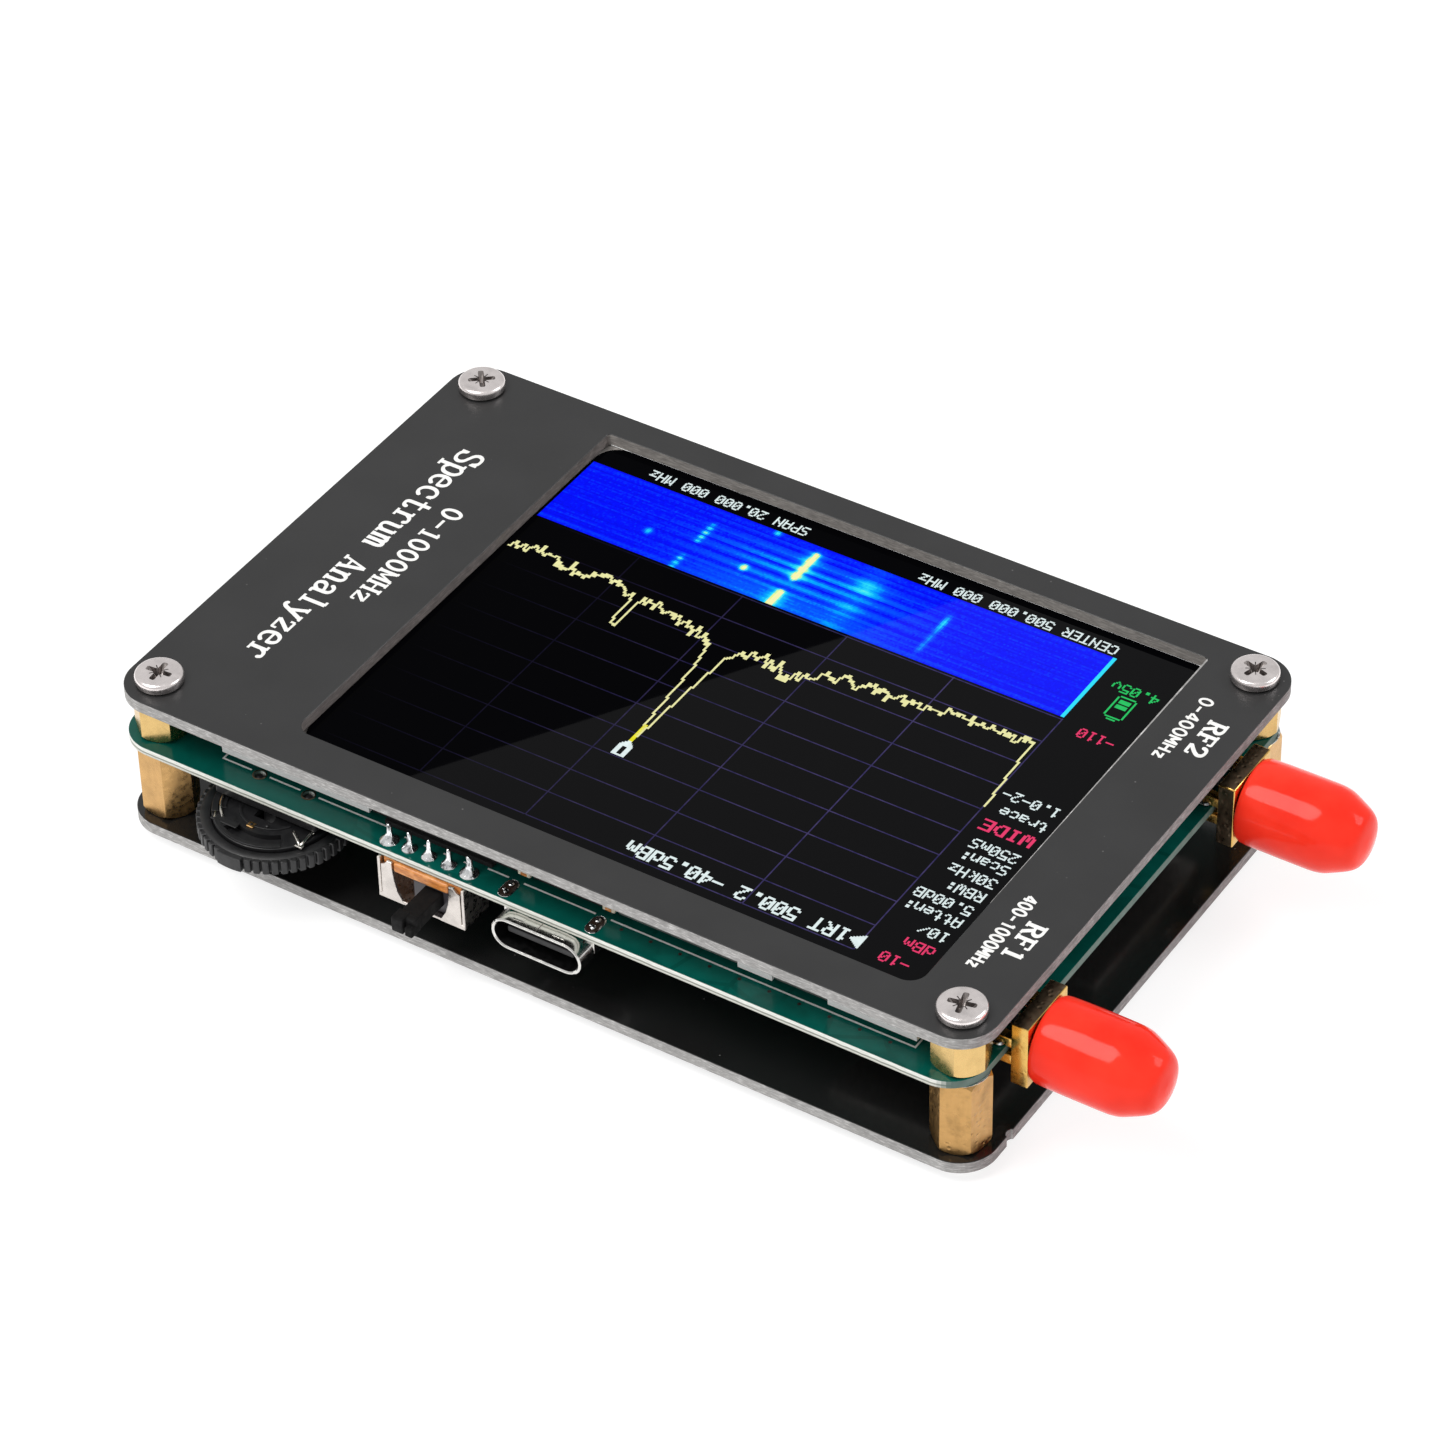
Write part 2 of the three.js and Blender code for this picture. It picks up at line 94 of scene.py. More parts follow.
TOP_LO, TOP_HI = mmbox("top_cover_board")
BOT_LO, BOT_HI = mmbox("bottom_cover_board")
MB_LO, MB_HI = mmbox("main_board")
PX0, PY0, PX1, PY1 = TOP_LO[0], TOP_LO[1], TOP_HI[0], TOP_HI[1]
ZT0, ZT1 = TOP_LO[2], TOP_HI[2]
ZB0, ZB1 = BOT_LO[2], BOT_HI[2]
ZM0, ZM1 = MB_LO[2], MB_HI[2]


def px(x):
    return x + OX


def py(y):
    return y + OY


CORNERS = []
for i in range(1, 5):
    lo, hi = mmbox("top_screw_%d" % i)
    CORNERS.append(((lo[0] + hi[0]) / 2, (lo[1] + hi[1]) / 2))

# ------------------------------------------------------------------ materials


class Mat:
    """A small node builder round one Principled shader."""

    def __init__(self, name, color=(0.5, 0.5, 0.5), rough=0.5, metal=0.0, **sockets):
        self.m = bpy.data.materials.new(name)
        self.m.use_nodes = True
        self.nt = self.m.node_tree
        self.b = self.nt.nodes["Principled BSDF"]
        self.b.inputs["Base Color"].default_value = (*color, 1)
        self.b.inputs["Roughness"].default_value = rough
        self.b.inputs["Metallic"].default_value = metal
        for k, v in sockets.items():
            self.b.inputs[k.replace("_", " ")].default_value = v
        self._co = None
        self.height = None

    def node(self, kind, **props):
        n = self.nt.nodes.new(kind)
        for k, v in props.items():
            setattr(n, k, v)
        return n

    def link(self, a, b):
        self.nt.links.new(a, b)

    def co(self, scale=(1, 1, 1), rot=(0, 0, 0)):
        if self._co is None:
            self._co = self.node("ShaderNodeTexCoord").outputs["Object"]
        mp = self.node("ShaderNodeMapping")
        mp.inputs["Scale"].default_value = scale
        mp.inputs["Rotation"].default_value = rot
        self.link(self._co, mp.inputs["Vector"])
        return mp.outputs["Vector"]

    def noise(self, scale, detail=3.0, rough=0.5, stretch=(1, 1, 1), distort=0.0):
        n = self.node("ShaderNodeTexNoise")
        n.inputs["Scale"].default_value = scale
        n.inputs["Detail"].default_value = detail
        n.inputs["Roughness"].default_value = rough
        n.inputs["Distortion"].default_value = distort
        self.link(self.co(stretch), n.inputs["Vector"])
        return n.outputs["Fac"]

    def voronoi(self, scale, feature="F1", stretch=(1, 1, 1), rnd=1.0):
        n = self.node("ShaderNodeTexVoronoi", feature=feature)
        n.inputs["Scale"].default_value = scale
        n.inputs["Randomness"].default_value = rnd
        self.link(self.co(stretch), n.inputs["Vector"])
        return n.outputs["Distance"]

    def wave(self, scale, kind="BANDS", direction="X", distort=0.0, detail=2.0, stretch=(1, 1, 1)):
        n = self.node("ShaderNodeTexWave", wave_type=kind)
        if kind == "BANDS":
            n.bands_direction = direction
        else:
            n.rings_direction = direction
        n.inputs["Scale"].default_value = scale
        n.inputs["Distortion"].default_value = distort
        n.inputs["Detail"].default_value = detail
        self.link(self.co(stretch), n.inputs["Vector"])
        return n.outputs["Fac"]

    def ramp(self, fac, stops, interp="LINEAR"):
        n = self.node("ShaderNodeValToRGB")
        n.color_ramp.interpolation = interp
        e = n.color_ramp.elements
        while len(e) > 1:
            e.remove(e[-1])
        e[0].position = stops[0][0]
        e[0].color = self._c(stops[0][1])
        for pos, c in stops[1:]:
            x = e.new(pos)
            x.color = self._c(c)
        self.link(fac, n.inputs["Fac"])
        return n.outputs["Color"]

    def _c(self, c):
        if isinstance(c, (int, float)):
            return (c, c, c, 1)
        return (*c, 1)

    def math(self, op, a, b=None, clamp=False):
        n = self.node("ShaderNodeMath", operation=op, use_clamp=clamp)
        for i, v in enumerate((a, b)):
            if v is None:
                continue
            if isinstance(v, (int, float)):
                n.inputs[i].default_value = v
            else:
                self.link(v, n.inputs[i])
        return n.outputs[0]

    def mix(self, fac, a, b, blend="MIX"):
        n = self.node("ShaderNodeMix", data_type="RGBA", blend_type=blend)
        for i, v in ((0, fac), (6, a), (7, b)):
            if isinstance(v, (int, float)) and i == 0:
                n.inputs[i].default_value = v
            elif isinstance(v, (tuple, list)):
                n.inputs[i].default_value = (*v, 1)
            elif isinstance(v, (int, float)):
                n.inputs[i].default_value = (v, v, v, 1)
            else:
                self.link(v, n.inputs[i])
        return n.outputs[2]

    def color(self, out):
        self.link(out, self.b.inputs["Base Color"])
        return self

    def rough(self, out):
        self.link(out, self.b.inputs["Roughness"])
        return self

    def bump(self, height, strength=0.3, distance=0.02):
        """distance in millimetres"""
        n = self.node("ShaderNodeBump")
        n.inputs["Strength"].default_value = strength
        n.inputs["Distance"].default_value = distance * MM
        self.link(height, n.inputs["Height"])
        if self.height is not None:
            self.link(self.height, n.inputs["Normal"])
        self.height = n.outputs["Normal"]
        self.link(self.height, self.b.inputs["Normal"])
        return self

    def normal_z(self):
        """1 on faces that look up or down, 0 on the sides"""
        g = self.node("ShaderNodeTexCoord")
        s = self.node("ShaderNodeSeparateXYZ")
        self.link(g.outputs["Normal"], s.inputs[0])
        return self.math("GREATER_THAN", self.math("ABSOLUTE", s.outputs["Z"]), 0.8)

    def z(self):
        s = self.node("ShaderNodeSeparateXYZ")
        self.link(self.co(), s.inputs[0])
        return s.outputs["Z"]


def srgb(r, g, b):
    def f(c):
        c /= 255
        return c / 12.92 if c <= 0.04045 else ((c + 0.055) / 1.055) ** 2.4

    return (f(r), f(g), f(b))


def scale(c, k):
    return tuple(x * k for x in c)


# noise scale is per metre of object: feature size in mm is about 1000 / scale
M = {}


def board_face(name, color, rough, specks, orange=0.12):
    m = Mat(name, color, rough)
    tone = m.noise(140, 3, 0.5)
    base = m.ramp(tone, [(0.3, scale(color, 0.88)), (0.7, scale(color, 1.14))])
    # dust: sparse small light spots
    v = m.voronoi(900)
    dot = m.ramp(v, [(0.0, 1.0), (0.055, 1.0), (0.085, 0.0)])
    keep = m.ramp(m.noise(260, 2, 0.5), [(0.60, 0.0), (0.66, 1.0)])
    fleck = m.math("MULTIPLY", dot, keep)
    base = m.mix(m.math("MULTIPLY", fleck, specks), base, (0.42, 0.41, 0.40))
    m.color(base)
    r = m.ramp(m.noise(420, 4, 0.6), [(0.3, rough * 0.85), (0.7, rough * 1.2)])
    m.rough(r)
    m.bump(m.noise(5200, 2, 0.5), orange, 0.006)
    m.bump(m.noise(380, 2, 0.5), 0.10, 0.02)
    return m.m


M["cover_top"] = board_face("cover_satin", (0.018, 0.018, 0.0185), 0.36, 0.22)
M["cover_bottom"] = board_face("cover_gloss", (0.0115, 0.0115, 0.0115), 0.15, 0.30, 0.06)


def cut_edge(name, a, b):
    """sawn glass laminate: fine strands along the layers and a rough surface"""
    m = Mat(name, a, 0.75)
    strands = m.noise(3300, 4, 0.7, (0.35, 0.35, 2.6))
    col = m.ramp(strands, [(0.30, scale(b, 0.75)), (0.5, b), (0.68, a), (0.8, scale(a, 1.12))])
    tint = m.ramp(m.noise(700, 3, 0.5), [(0.35, 0.82), (0.65, 1.0)])
    # painted shade: faces turned towards +X, the connector side, are darkened
    geo = m.node("ShaderNodeNewGeometry")
    nrm = m.node("ShaderNodeSeparateXYZ")
    m.link(geo.outputs["True Normal"], nrm.inputs[0])
    plus_x_shade = m.ramp(nrm.outputs["X"], [(0.5, (1.0, 1.0, 1.0)), (0.95, (0.66, 0.62, 0.63))])
    m.color(m.mix(1.0, m.mix(1.0, col, tint, "MULTIPLY"), plus_x_shade, "MULTIPLY"))
    m.bump(m.noise(3400, 4, 0.7, (0.6, 0.6, 2.0)), 0.7, 0.05)
    return m.m


M["edge_grey"] = cut_edge("cut_edge_grey", (0.70, 0.69, 0.68), (0.36, 0.352, 0.345))
# a darker copy of the cut edge for the window's inner wall: painted shade in the window's recess; the pale gasket at
# the lens corners uses it too
M["edge_window"] = cut_edge("cut_edge_window", (0.46, 0.43, 0.40), (0.29, 0.27, 0.255))
M["edge_dark"] = cut_edge("cut_edge_dark", (0.36, 0.35, 0.34), (0.22, 0.21, 0.20))


def board_edge():
    """the thin board's sawn edge: two pale layers with a dark seam between them"""
    m = Mat("main_board_edge", (0.8, 0.8, 0.74), 0.7)
    h = m.math("MULTIPLY", m.math("SUBTRACT", m.z(), ZM0 * MM), 1 / ((ZM1 - ZM0) * MM))
    wob = m.math("MULTIPLY", m.math("SUBTRACT", m.noise(900, 3, 0.6, (1, 1, 0.2)), 0.5), 0.16)
    layer = m.ramp(m.math("ADD", h, wob), [(0.04, (0.55, 0.56, 0.50)), (0.22, (0.74, 0.74, 0.68)), (0.34, (0.26, 0.28, 0.24)), (0.42, (0.24, 0.26, 0.22)), (0.52, (0.82, 0.83, 0.77)), (0.90, (0.88, 0.89, 0.84)), (0.97, (0.45, 0.55, 0.48))])
    grain = m.ramp(m.noise(3300, 4, 0.7, (0.35, 0.35, 2.6)), [(0.3, 0.72), (0.6, 1.0)])
    # painted shade: faces turned towards +X, the connector side, turn a darker green
    geo = m.node("ShaderNodeNewGeometry")
    nrm = m.node("ShaderNodeSeparateXYZ")
    m.link(geo.outputs["True Normal"], nrm.inputs[0])
    tone_fac = m.ramp(nrm.outputs["X"], [(0.2, 0.0), (0.5, 1.0)])
    m.color(m.mix(tone_fac, m.mix(1.0, layer, grain, "MULTIPLY"), m.ramp(m.noise(900, 2, 0.5), [(0.3, (0.085, 0.135, 0.115)), (0.7, (0.13, 0.19, 0.165))])))
    m.bump(m.noise(3400, 4, 0.7, (0.6, 0.6, 2.0)), 0.6, 0.05)
    return m.m


M["edge_cream"] = board_edge()


def solder_mask():
    m = Mat("green_solder_mask", (0.0, 0.07, 0.055), 0.16)
    m.b.inputs["Specular IOR Level"].default_value = 0.30
    # copper areas under the lacquer read a little lighter than the bare laminate between them
    pour = m.ramp(m.noise(75, 2, 0.35), [(0.50, 0.0), (0.515, 1.0)])
    v = m.voronoi(210, "DISTANCE_TO_EDGE", (1, 1, 1), 0.55)
    lane = m.ramp(v, [(0.035, 0.0), (0.05, 1.0)])
    under = m.math("MULTIPLY", pour, lane)
    col = m.mix(under, (0.0010, 0.080, 0.062), (0.0020, 0.100, 0.078))
    cloud = m.ramp(m.noise(900, 3, 0.5), [(0.3, 0.90), (0.7, 1.06)])
    m.color(m.mix(1.0, col, cloud, "MULTIPLY"))
    m.bump(under, 0.15, 0.012)
    m.bump(m.noise(4200, 2, 0.5), 0.10, 0.006)
    return m.m


M["mask"] = solder_mask()


def silk(name="white_print", c=(0.86, 0.86, 0.84)):
    m = Mat(name, c, 0.55)
    m.color(m.ramp(m.noise(2400, 3, 0.6), [(0.3, scale(c, 0.86)), (0.6, c)]))
    m.bump(m.noise(5200, 3, 0.6), 0.3, 0.01)
    return m.m


M["print"] = silk()


def brass(name, c, rough, brushed=True, pits=0.0, dark=0.25):
    m = Mat(name, c, rough, 1.0)
    tone_fac = m.noise(420, 4, 0.6)
    col = m.ramp(tone_fac, [(0.28, scale(c, 1 - dark)), (0.52, c), (0.78, tuple(min(1, x * 1.12 + 0.01) for x in c))])
    lines = m.noise(1500, 3, 0.6, (1.0, 1.0, 0.12))
    m.color(m.mix(0.35, col, m.ramp(lines, [(0.3, scale(c, 0.7)), (0.7, c)])))
    m.rough(m.ramp(m.noise(1900, 4, 0.6), [(0.3, rough * 0.75), (0.7, min(1, rough * 1.45))]))
    if brushed:
        m.bump(m.noise(2600, 3, 0.6, (1.0, 1.0, 0.10)), 0.35, 0.012)
    if pits:
        v = m.voronoi(1500)
        m.bump(m.ramp(v, [(0.0, 0.0), (0.35, 1.0)]), pits, 0.05)
    m.bump(m.noise(900, 3, 0.5), 0.25, 0.02)
    return m.m


M["brass"] = brass("brass_bar", (0.76, 0.52, 0.21), 0.24)
M["brass_lower"] = brass("brass_bar_lower", (0.72, 0.43, 0.17), 0.27)
M["brass_pitted"] = brass("brass_pitted", (0.60, 0.35, 0.13), 0.32, True, 1.0, 0.6)
M["gold"] = brass("gold_plate", (0.80, 0.50, 0.14), 0.24, False, 0.35, 0.35)
# darker gold: the plated rings' and socket contacts' own tone, and painted reflection and shade where it skins the
# connector flanges
M["gold_dark"] = brass("gold_darkened", (0.21, 0.155, 0.10), 0.33, False, 0.9, 0.6)


def nickel(name, c, rough, rings=None):
    m = Mat(name, c, rough, 1.0)
    m.color(m.ramp(m.noise(800, 4, 0.6), [(0.3, scale(c, 0.82)), (0.55, c), (0.8, tuple(min(1, x * 1.08) for x in c))]))
    m.rough(m.ramp(m.noise(2600, 4, 0.6), [(0.3, rough * 0.7), (0.7, rough * 1.5)]))
    m.bump(m.noise(3800, 3, 0.6), 0.22, 0.012)
    return m.m


M["nickel"] = nickel("screw_nickel", (0.93, 0.865, 0.85), 0.22)
# darker nickel: painted shade on the walls of the screw recesses and notches, and the socket shell's dark seam line
M["nickel_dark"] = nickel("screw_recess", (0.30, 0.27, 0.26), 0.38)
M["shell"] = nickel("shell_steel", (0.78, 0.77, 0.74), 0.16)
M["sheet"] = nickel("nickel_sheet", (0.73, 0.68, 0.64), 0.27)
M["spring"] = nickel("spring_steel", (0.86, 0.82, 0.76), 0.2)


def solder():
    """bright joints: nearly a mirror, with flow ripples that break the reflection up"""
    m = Mat("solder_tin", (0.86, 0.87, 0.88), 0.12, 1.0)
    m.color(m.ramp(m.noise(1500, 4, 0.65, (1, 1, 0.4)), [(0.36, (0.16, 0.16, 0.16)), (0.46, (0.78, 0.79, 0.80)), (0.58, (0.99, 0.99, 0.99))]))
    m.rough(m.ramp(m.noise(2600, 4, 0.6), [(0.3, 0.06), (0.7, 0.24)]))
    m.bump(m.noise(1300, 2, 0.5, (1, 1, 0.35)), 0.85, 0.14)
    return m.m


M["tin"] = solder()


def plastic(name, c, rough, grain=2600, depth=0.25, var=0.12, **k):
    m = Mat(name, c, rough, 0.0, **k)
    m.color(m.ramp(m.noise(600, 3, 0.5), [(0.3, scale(c, 1 - var)), (0.7, tuple(min(1, x * (1 + var)) for x in c))]))
    m.rough(m.ramp(m.noise(1500, 3, 0.6), [(0.3, rough * 0.8), (0.7, min(1, rough * 1.25))]))
    m.bump(m.noise(grain, 3, 0.6), depth, 0.02)
    return m.m


M["black_plastic"] = plastic("black_nylon", (0.014, 0.014, 0.015), 0.46)
M["lever"] = plastic("lever_plastic", (0.0032, 0.0032, 0.0034), 0.7, 2200, 0.9, 0.4, IOR=1.3)
M["smoke"] = plastic("grey_block", (0.055, 0.05, 0.058), 0.35)
M["frame_dim"] = plastic("frame_shaded", (0.10, 0.115, 0.11), 0.5, 2200, 0.3, 0.25)
# near-black steel for the socket shell's inner walls: painted shade inside its mouth
M["shell_in"] = nickel("shell_inside", (0.035, 0.035, 0.036), 0.42)
M["pad_dark"] = plastic("scorched_pad", (0.022, 0.012, 0.008), 0.3, 1800, 0.9, 0.5)
M["black_body"] = plastic("black_moulding", (0.010, 0.010, 0.011), 0.4)
M["tongue"] = plastic("socket_tongue", (0.012, 0.012, 0.013), 0.4)
M["white_frame"] = plastic("frame_white", (0.84, 0.83, 0.82), 0.42, 1800, 0.15, 0.05)
M["ivory"] = plastic("ivory_plastic", (0.78, 0.72, 0.58), 0.45)
M["ptfe"] = plastic("insulator", (0.85, 0.84, 0.80), 0.5, 1800, 0.2, 0.05)
M["foam"] = plastic("black_foam", (0.012, 0.012, 0.012), 0.95, 1500, 1.0, 0.3)
M["tape"] = plastic("white_tape", (0.7, 0.7, 0.66), 0.8, 1500, 0.4, 0.08)
M["wire_red"] = plastic("red_wire", (0.42, 0.012, 0.010), 0.4, 1200, 0.2)
M["wire_black"] = plastic("black_wire", (0.012, 0.012, 0.012), 0.42, 1200, 0.2)
M["chip"] = plastic("chip_mould", (0.018, 0.018, 0.019), 0.62, 3600, 0.6, 0.15)
M["mark"] = plastic("laser_mark", (0.16, 0.16, 0.155), 0.7, 3600, 0.3, 0.2)


def phenolic():
    m = Mat("phenolic_board", (0.40, 0.15, 0.04), 0.34)
    m.color(
        m.ramp(m.noise(1400, 4, 0.6, (1, 1, 3)), [(0.3, (0.38, 0.11, 0.022)), (0.55, (0.66, 0.25, 0.06)), (0.75, (0.82, 0.40, 0.15))])
    )
    m.bump(m.noise(2600, 3, 0.6), 0.4, 0.03)
    return m.m


M["phenolic"] = phenolic()


def pouch():
    m = Mat("battery_foil", (0.55, 0.56, 0.58), 0.30, 0.85)
    m.color(m.ramp(m.noise(90, 3, 0.5), [(0.3, (0.48, 0.49, 0.51)), (0.7, (0.62, 0.63, 0.65))]))
    m.bump(m.noise(130, 3, 0.55), 0.5, 0.25)
    m.bump(m.noise(1500, 2, 0.5), 0.15, 0.02)
    return m.m


M["pouch"] = pouch()


def film():
    m = Mat("amber_film", (0.45, 0.20, 0.04), 0.32)
    w = m.wave(330, "BANDS", "Y")
    m.color(m.mix(m.ramp(w, [(0.45, 0.0), (0.55, 1.0)]), (0.42, 0.17, 0.03), (0.58, 0.30, 0.08)))
    m.bump(w, 0.2, 0.02)
    return m.m


M["film"] = film()


def vinyl():
    c = (0.92, 0.036, 0.018)
    m = Mat("red_vinyl", c, 0.24)
    b = m.b
    b.inputs["Subsurface Weight"].default_value = 0.12
    b.inputs["Subsurface Radius"].default_value = (1.0, 0.10, 0.05)
    b.inputs["Subsurface Scale"].default_value = 0.0010
    b.inputs["Specular IOR Level"].default_value = 0.15
    m.color(m.ramp(m.noise(240, 3, 0.5), [(0.3, (0.86, 0.026, 0.012)), (0.7, (0.97, 0.044, 0.022))]))
    m.rough(m.ramp(m.noise(900, 3, 0.5), [(0.3, 0.07), (0.7, 0.13)]))
    m.bump(m.noise(170, 2, 0.5), 0.45, 0.20)
    m.bump(m.noise(1700, 2, 0.5), 0.10, 0.01)
    return m.m


M["vinyl"] = vinyl()


def lens():
    m = Mat("lens_black", (0.0008, 0.0008, 0.0012), 0.012, 0.0, IOR=1.05)
    m.bump(m.noise(60, 2, 0.5), 0.004, 0.02)
    m.rough(m.ramp(m.noise(700, 3, 0.6), [(0.3, 0.006), (0.7, 0.012)]))
    return m.m


M["lens"] = lens()


def glow(name, c, strength, vary=0.12):
    m = Mat(name, (0.001, 0.001, 0.001), 0.012, 0.0, IOR=1.05)
    m.b.inputs["Emission Strength"].default_value = strength
    col = m.ramp(m.noise(1800, 2, 0.5), [(0.3, scale(c, 1 - vary)), (0.7, c)])
    m.link(col, m.b.inputs["Emission Color"])
    return m.m


M["px_white"] = glow("screen_white", (0.80, 0.92, 0.92), 1.0)
M["px_pink"] = glow("screen_pink", (0.85, 0.045, 0.16), 1.0)
M["px_green"] = glow("screen_green", (0.02, 0.58, 0.13), 1.0)
M["px_trace"] = glow("screen_trace", (0.88, 0.86, 0.42), 1.0)
M["px_yellow"] = glow("screen_yellow", (0.85, 0.80, 0.02), 1.0)


def grid_glow():
    """fades out towards the dark left side, as on the real panel seen from an angle"""
    m = Mat("screen_grid", (0.001, 0.001, 0.001), 0.012, 0.0, IOR=1.05)
    m.b.inputs["Emission Strength"].default_value = 1.0
    s = m.node("ShaderNodeSeparateXYZ")
    m.link(m.co((16, 16, 16)), s.inputs[0])
    fade = m.ramp(m.math("ADD", s.outputs["X"], 0.62), [(0.12, 0.0), (0.3, 0.14), (0.5, 0.60), (0.8, 1.0)])
    c = m.ramp(m.noise(1300, 2, 0.5), [(0.3, (0.020, 0.016, 0.085)), (0.7, (0.055, 0.042, 0.135))])
    m.link(m.mix(1.0, c, fade, "MULTIPLY"), m.b.inputs["Emission Color"])
    return m.m


M["px_grid"] = grid_glow()


def waterfall():
    m = Mat("screen_waterfall", (0.001, 0.001, 0.001), 0.012, 0.0, IOR=1.05)
    a = m.node("ShaderNodeAttribute", attribute_name="tone")
    m.link(a.outputs["Color"], m.b.inputs["Emission Color"])
    m.b.inputs["Emission Strength"].default_value = 1.0
    return m.m


M["px_fall"] = waterfall()

# ------------------------------------------------------------------ mesh building


class Geo:
    """Closed shells, in millimetres, gathered into one piece."""

    def __init__(self):
        self.bm = bmesh.new()
        self.mats = []

    def _slot(self, mat):
        if mat not in self.mats:
            self.mats.append(mat)
        return self.mats.index(mat)

    def add(self, verts, faces, mat, smooth=False, xf=None):
        idx = self._slot(mat)
        vs = []
        for v in verts:
            p = Vector(v)
            if xf is not None:
                p = xf @ p
            vs.append(self.bm.verts.new(p))
        out = []
        for f in faces:
            try:
                face = self.bm.faces.new([vs[i] for i in f])
            except ValueError:
                continue
            face.material_index = idx
            face.smooth = smooth
            out.append(face)
        return out

    def add_bm(self, other, mat, smooth=False, xf=None):
        other.verts.ensure_lookup_table()
        other.verts.index_update()
        verts = [v.co.copy() for v in other.verts]
        faces = [[v.index for v in f.verts] for f in other.faces]
        out = self.add(verts, faces, mat, smooth, xf)
        other.free()
        return out

    def box(self, x0, y0, z0, x1, y1, z1, mat, c=0.05, seg=1, smooth=False, xf=None):
        b = bmesh.new()
        bmesh.ops.create_cube(b, size=1)
        for v in b.verts:
            v.co = Vector(
                (
                    (x0 + x1) / 2 + v.co.x * (x1 - x0),
                    (y0 + y1) / 2 + v.co.y * (y1 - y0),
                    (z0 + z1) / 2 + v.co.z * (z1 - z0),
                )
            )
        if c > 0:
            bmesh.ops.bevel(b, geom=list(b.edges), offset=c, segments=seg, affect="EDGES", profile=0.5)
        return self.add_bm(b, mat, smooth, xf)

    def lathe(self, prof, mat, seg=48, xf=None, smooth=True, mats=None):
        """prof: (radius, height) pairs round local Z, closed when it begins and ends on the axis or is a loop"""
        loop = prof[0] == prof[-1]
        pts = prof[:-1] if loop else prof
        verts, rows = [], []
        for r, h in pts:
            if r < 1e-9:
                rows.append([len(verts)])
                verts.append((0, 0, h))
            else:
                rows.append(list(range(len(verts), len(verts) + seg)))
                for k in range(seg):
                    a = 2 * PI * k / seg
                    verts.append((r * math.cos(a), r * math.sin(a), h))
        n = len(rows)
        pairs = [(i, (i + 1) % n) for i in range(n if loop else n - 1)]
        for j, (a, b) in enumerate(pairs):
            A, B = rows[a], rows[b]
            faces = []
            if len(A) == 1 and len(B) == 1:
                continue
            for k in range(seg):
                k2 = (k + 1) % seg
                if len(A) == 1:
                    faces.append((A[0], B[k], B[k2]))
                elif len(B) == 1:
                    faces.append((A[k], B[0], A[k2]))
                else:
                    faces.append((A[k], B[k], B[k2], A[k2]))
            if j == 0:
                keep = [self.bm.verts.new(xf @ Vector(v) if xf is not None else Vector(v)) for v in verts]
            mm = mats[j] if mats and mats[j] is not None else mat
            idx = self._slot(mm)
            for f in faces:
                face = self.bm.faces.new([keep[i] for i in f])
                face.material_index = idx
                face.smooth = smooth

    def prism(self, poly, z0, z1, mat, c=0.05, seg=1, smooth=False, xf=None, side=None):
        """poly: counter-clockwise outline, extruded from z0 to z1 with its two rims rounded by c"""
        rings = []
        if c > 0:
            for i in range(seg + 1):
                a = PI / 2 * i / seg
                rings.append((c * (1 - math.sin(a)), z0 + c * (1 - math.cos(a))))
            for i in range(seg + 1):
                a = PI / 2 * i / seg
                rings.append((c * (1 - math.cos(a)), z1 - c * (1 - math.sin(a))))
        else:
            rings = [(0, z0), (0, z1)]
        verts, faces, n = [], [], len(poly)
        for off, z in rings:
            for x, y in inset(poly, off):
                verts.append((x, y, z))
        for r in range(len(rings) - 1):
            for k in range(n):
                k2 = (k + 1) % n
                faces.append((r * n + k, r * n + k2, (r + 1) * n + k2, (r + 1) * n + k))
        caps = [tuple(reversed(range(n))), tuple(range((len(rings) - 1) * n, len(rings) * n))]
        if side is None:
            self.add(verts, faces + caps, mat, smooth, xf)
        else:
            idx, sidx = self._slot(mat), self._slot(side)
            vs = [self.bm.verts.new(xf @ Vector(v) if xf is not None else Vector(v)) for v in verts]
            for f in faces:
                x = self.bm.faces.new([vs[i] for i in f])
                x.material_index, x.smooth = sidx, smooth
            for f in caps:
                x = self.bm.faces.new([vs[i] for i in f])
                x.material_index, x.smooth = idx, False

    def tube(self, pts, radii, mat, seg=10, smooth=True):
        """swept round section along points; radii one number or one per point"""
        P = [Vector(p) for p in pts]
        R = radii if isinstance(radii, (list, tuple)) else [radii] * len(P)
        verts, faces = [], []
        t = (P[1] - P[0]).normalized()
        ref = Vector((0, 0, 1)) if abs(t.z) < 0.9 else Vector((1, 0, 0))
        u = t.cross(ref).normalized()
        for i, p in enumerate(P):
            if i == 0:
                d = (P[1] - P[0]).normalized()
            elif i == len(P) - 1:
                d = (P[-1] - P[-2]).normalized()
            else:
                d = (P[i + 1] - P[i - 1]).normalized()
            u = (u - d * u.dot(d)).normalized()
            w = d.cross(u)
            for k in range(seg):
                a = 2 * PI * k / seg
                verts.append(p + (u * math.cos(a) + w * math.sin(a)) * R[i])
        for i in range(len(P) - 1):
            for k in range(seg):
                k2 = (k + 1) % seg
                faces.append((i * seg + k, i * seg + k2, (i + 1) * seg + k2, (i + 1) * seg + k))
        a0 = len(verts)
        verts.append(P[0] - (P[1] - P[0]).normalized() * R[0] * 0.4)
        verts.append(P[-1] + (P[-1] - P[-2]).normalized() * R[-1] * 0.4)
        e = (len(P) - 1) * seg
        for k in range(seg):
            k2 = (k + 1) % seg
            faces.append((a0, k2, k))
            faces.append((a0 + 1, e + k, e + k2))
        self.add(verts, faces, mat, smooth)

